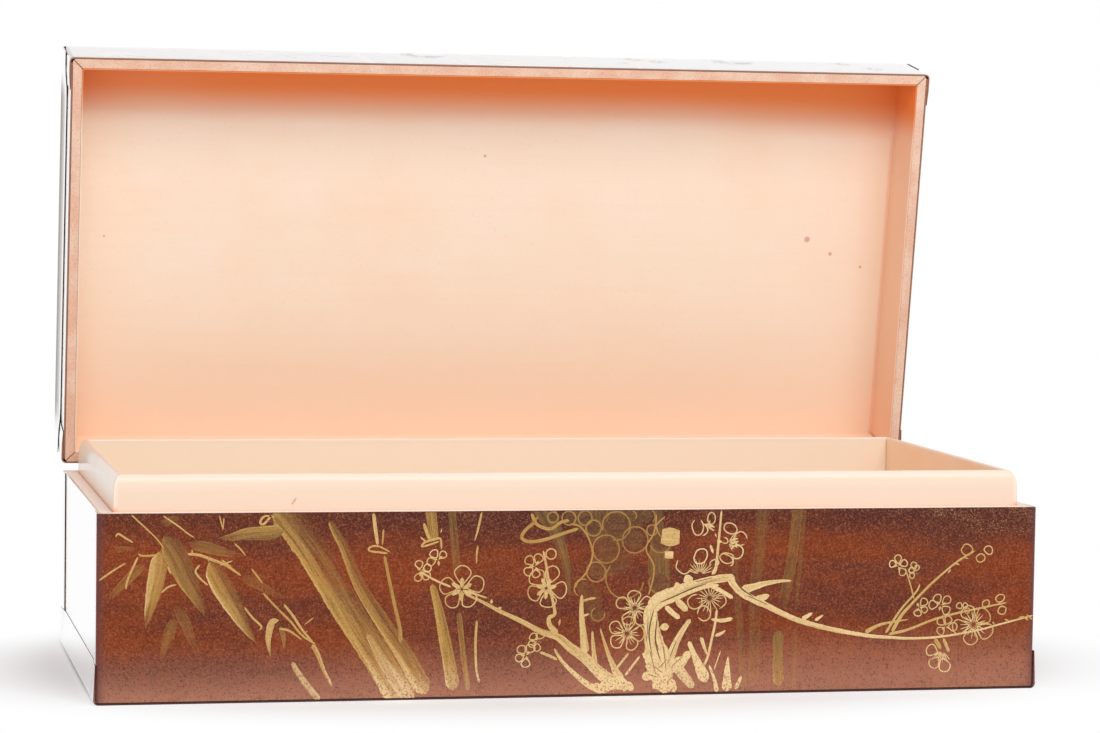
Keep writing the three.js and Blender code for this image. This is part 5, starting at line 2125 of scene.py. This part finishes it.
white = room.node("ShaderNodeBackground", {}, {"Color": WHITE, "Strength": strength})
room.ends_in("ShaderNodeOutputWorld", white)
bpy.context.scene.world = world
bpy.context.scene.view_settings.view_transform = "Standard"
print("floor", 2 * FLOOR_HALF, "m wide, room light", ROOM_STRENGTH)

# %% Lamp
LAMP_PLACE = Vector((0.1, -1.3, 1.4))
LAMP_AIM = Vector((0, 0.1, 0.2))
LAMP_WIDTH = 1.6
LAMP_HEIGHT = 0.8
LAMP_POWER = 17.6
lamp_data = bpy.data.lights.new("overhead", "AREA")
lamp_data.shape = "RECTANGLE"
lamp_data.size = LAMP_WIDTH
lamp_data.size_y = LAMP_HEIGHT
lamp_data.energy = LAMP_POWER
lamp = linked("overhead", lamp_data)
lamp.location = LAMP_PLACE
lamp.rotation_euler = (LAMP_AIM - LAMP_PLACE).to_track_quat("-Z", "Y").to_euler()
print("one lamp of", LAMP_POWER, "W")

# %% Camera
PHOTO_WIDTH = 1100
FOCAL_PIXELS = 3489.9
SENSOR_WIDTH = 36.0
YAW = math.radians(12.31)
PITCH = math.radians(3.61)
ROLL = math.radians(0.88)
CAMERA_PLACE = (-0.33693, -1.57426, 0.2401)
camera_data = bpy.data.cameras.new("camera")
camera_data.sensor_width = SENSOR_WIDTH
camera_data.lens = FOCAL_PIXELS / PHOTO_WIDTH * SENSOR_WIDTH
camera = linked("camera", camera_data)
level = Vector((math.cos(YAW), -math.sin(YAW), 0))
forward = Vector((math.sin(YAW) * math.cos(PITCH), math.cos(YAW) * math.cos(PITCH),
                  -math.sin(PITCH)))
upward = level.cross(forward)
right = level * math.cos(ROLL) + upward * math.sin(ROLL)
above = upward * math.cos(ROLL) - level * math.sin(ROLL)
turned = Matrix((right, above, -forward)).transposed().to_4x4()
camera.matrix_world = Matrix.Translation(CAMERA_PLACE) @ turned
bpy.context.scene.camera = camera
print("camera lens", round(camera_data.lens, 1), "mm")

# %% [markdown]
# ## The last check
#
# The dressed box must still have the size of the frame. Both boxes are set side by side, and the
# pieces that stand furthest outside their nodes are printed, with how far the box has grown.

# %% Sizes and finish
visual_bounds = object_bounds()
sizes = {
    "cad": [list(corner) for corner in cad_bounds],
    "visual": [list(corner) for corner in visual_bounds],
}
furthest = sorted((round(off / MM, 2), name) for off, name in stands_proud)[-4:]
print("furthest outside its node:", furthest)
grown = [round((visual_bounds[1][axis] - cad_bounds[1][axis]) / MM, 2) for axis in range(3)]
print("the dressed box stands out past the frame by", grown, "mm")
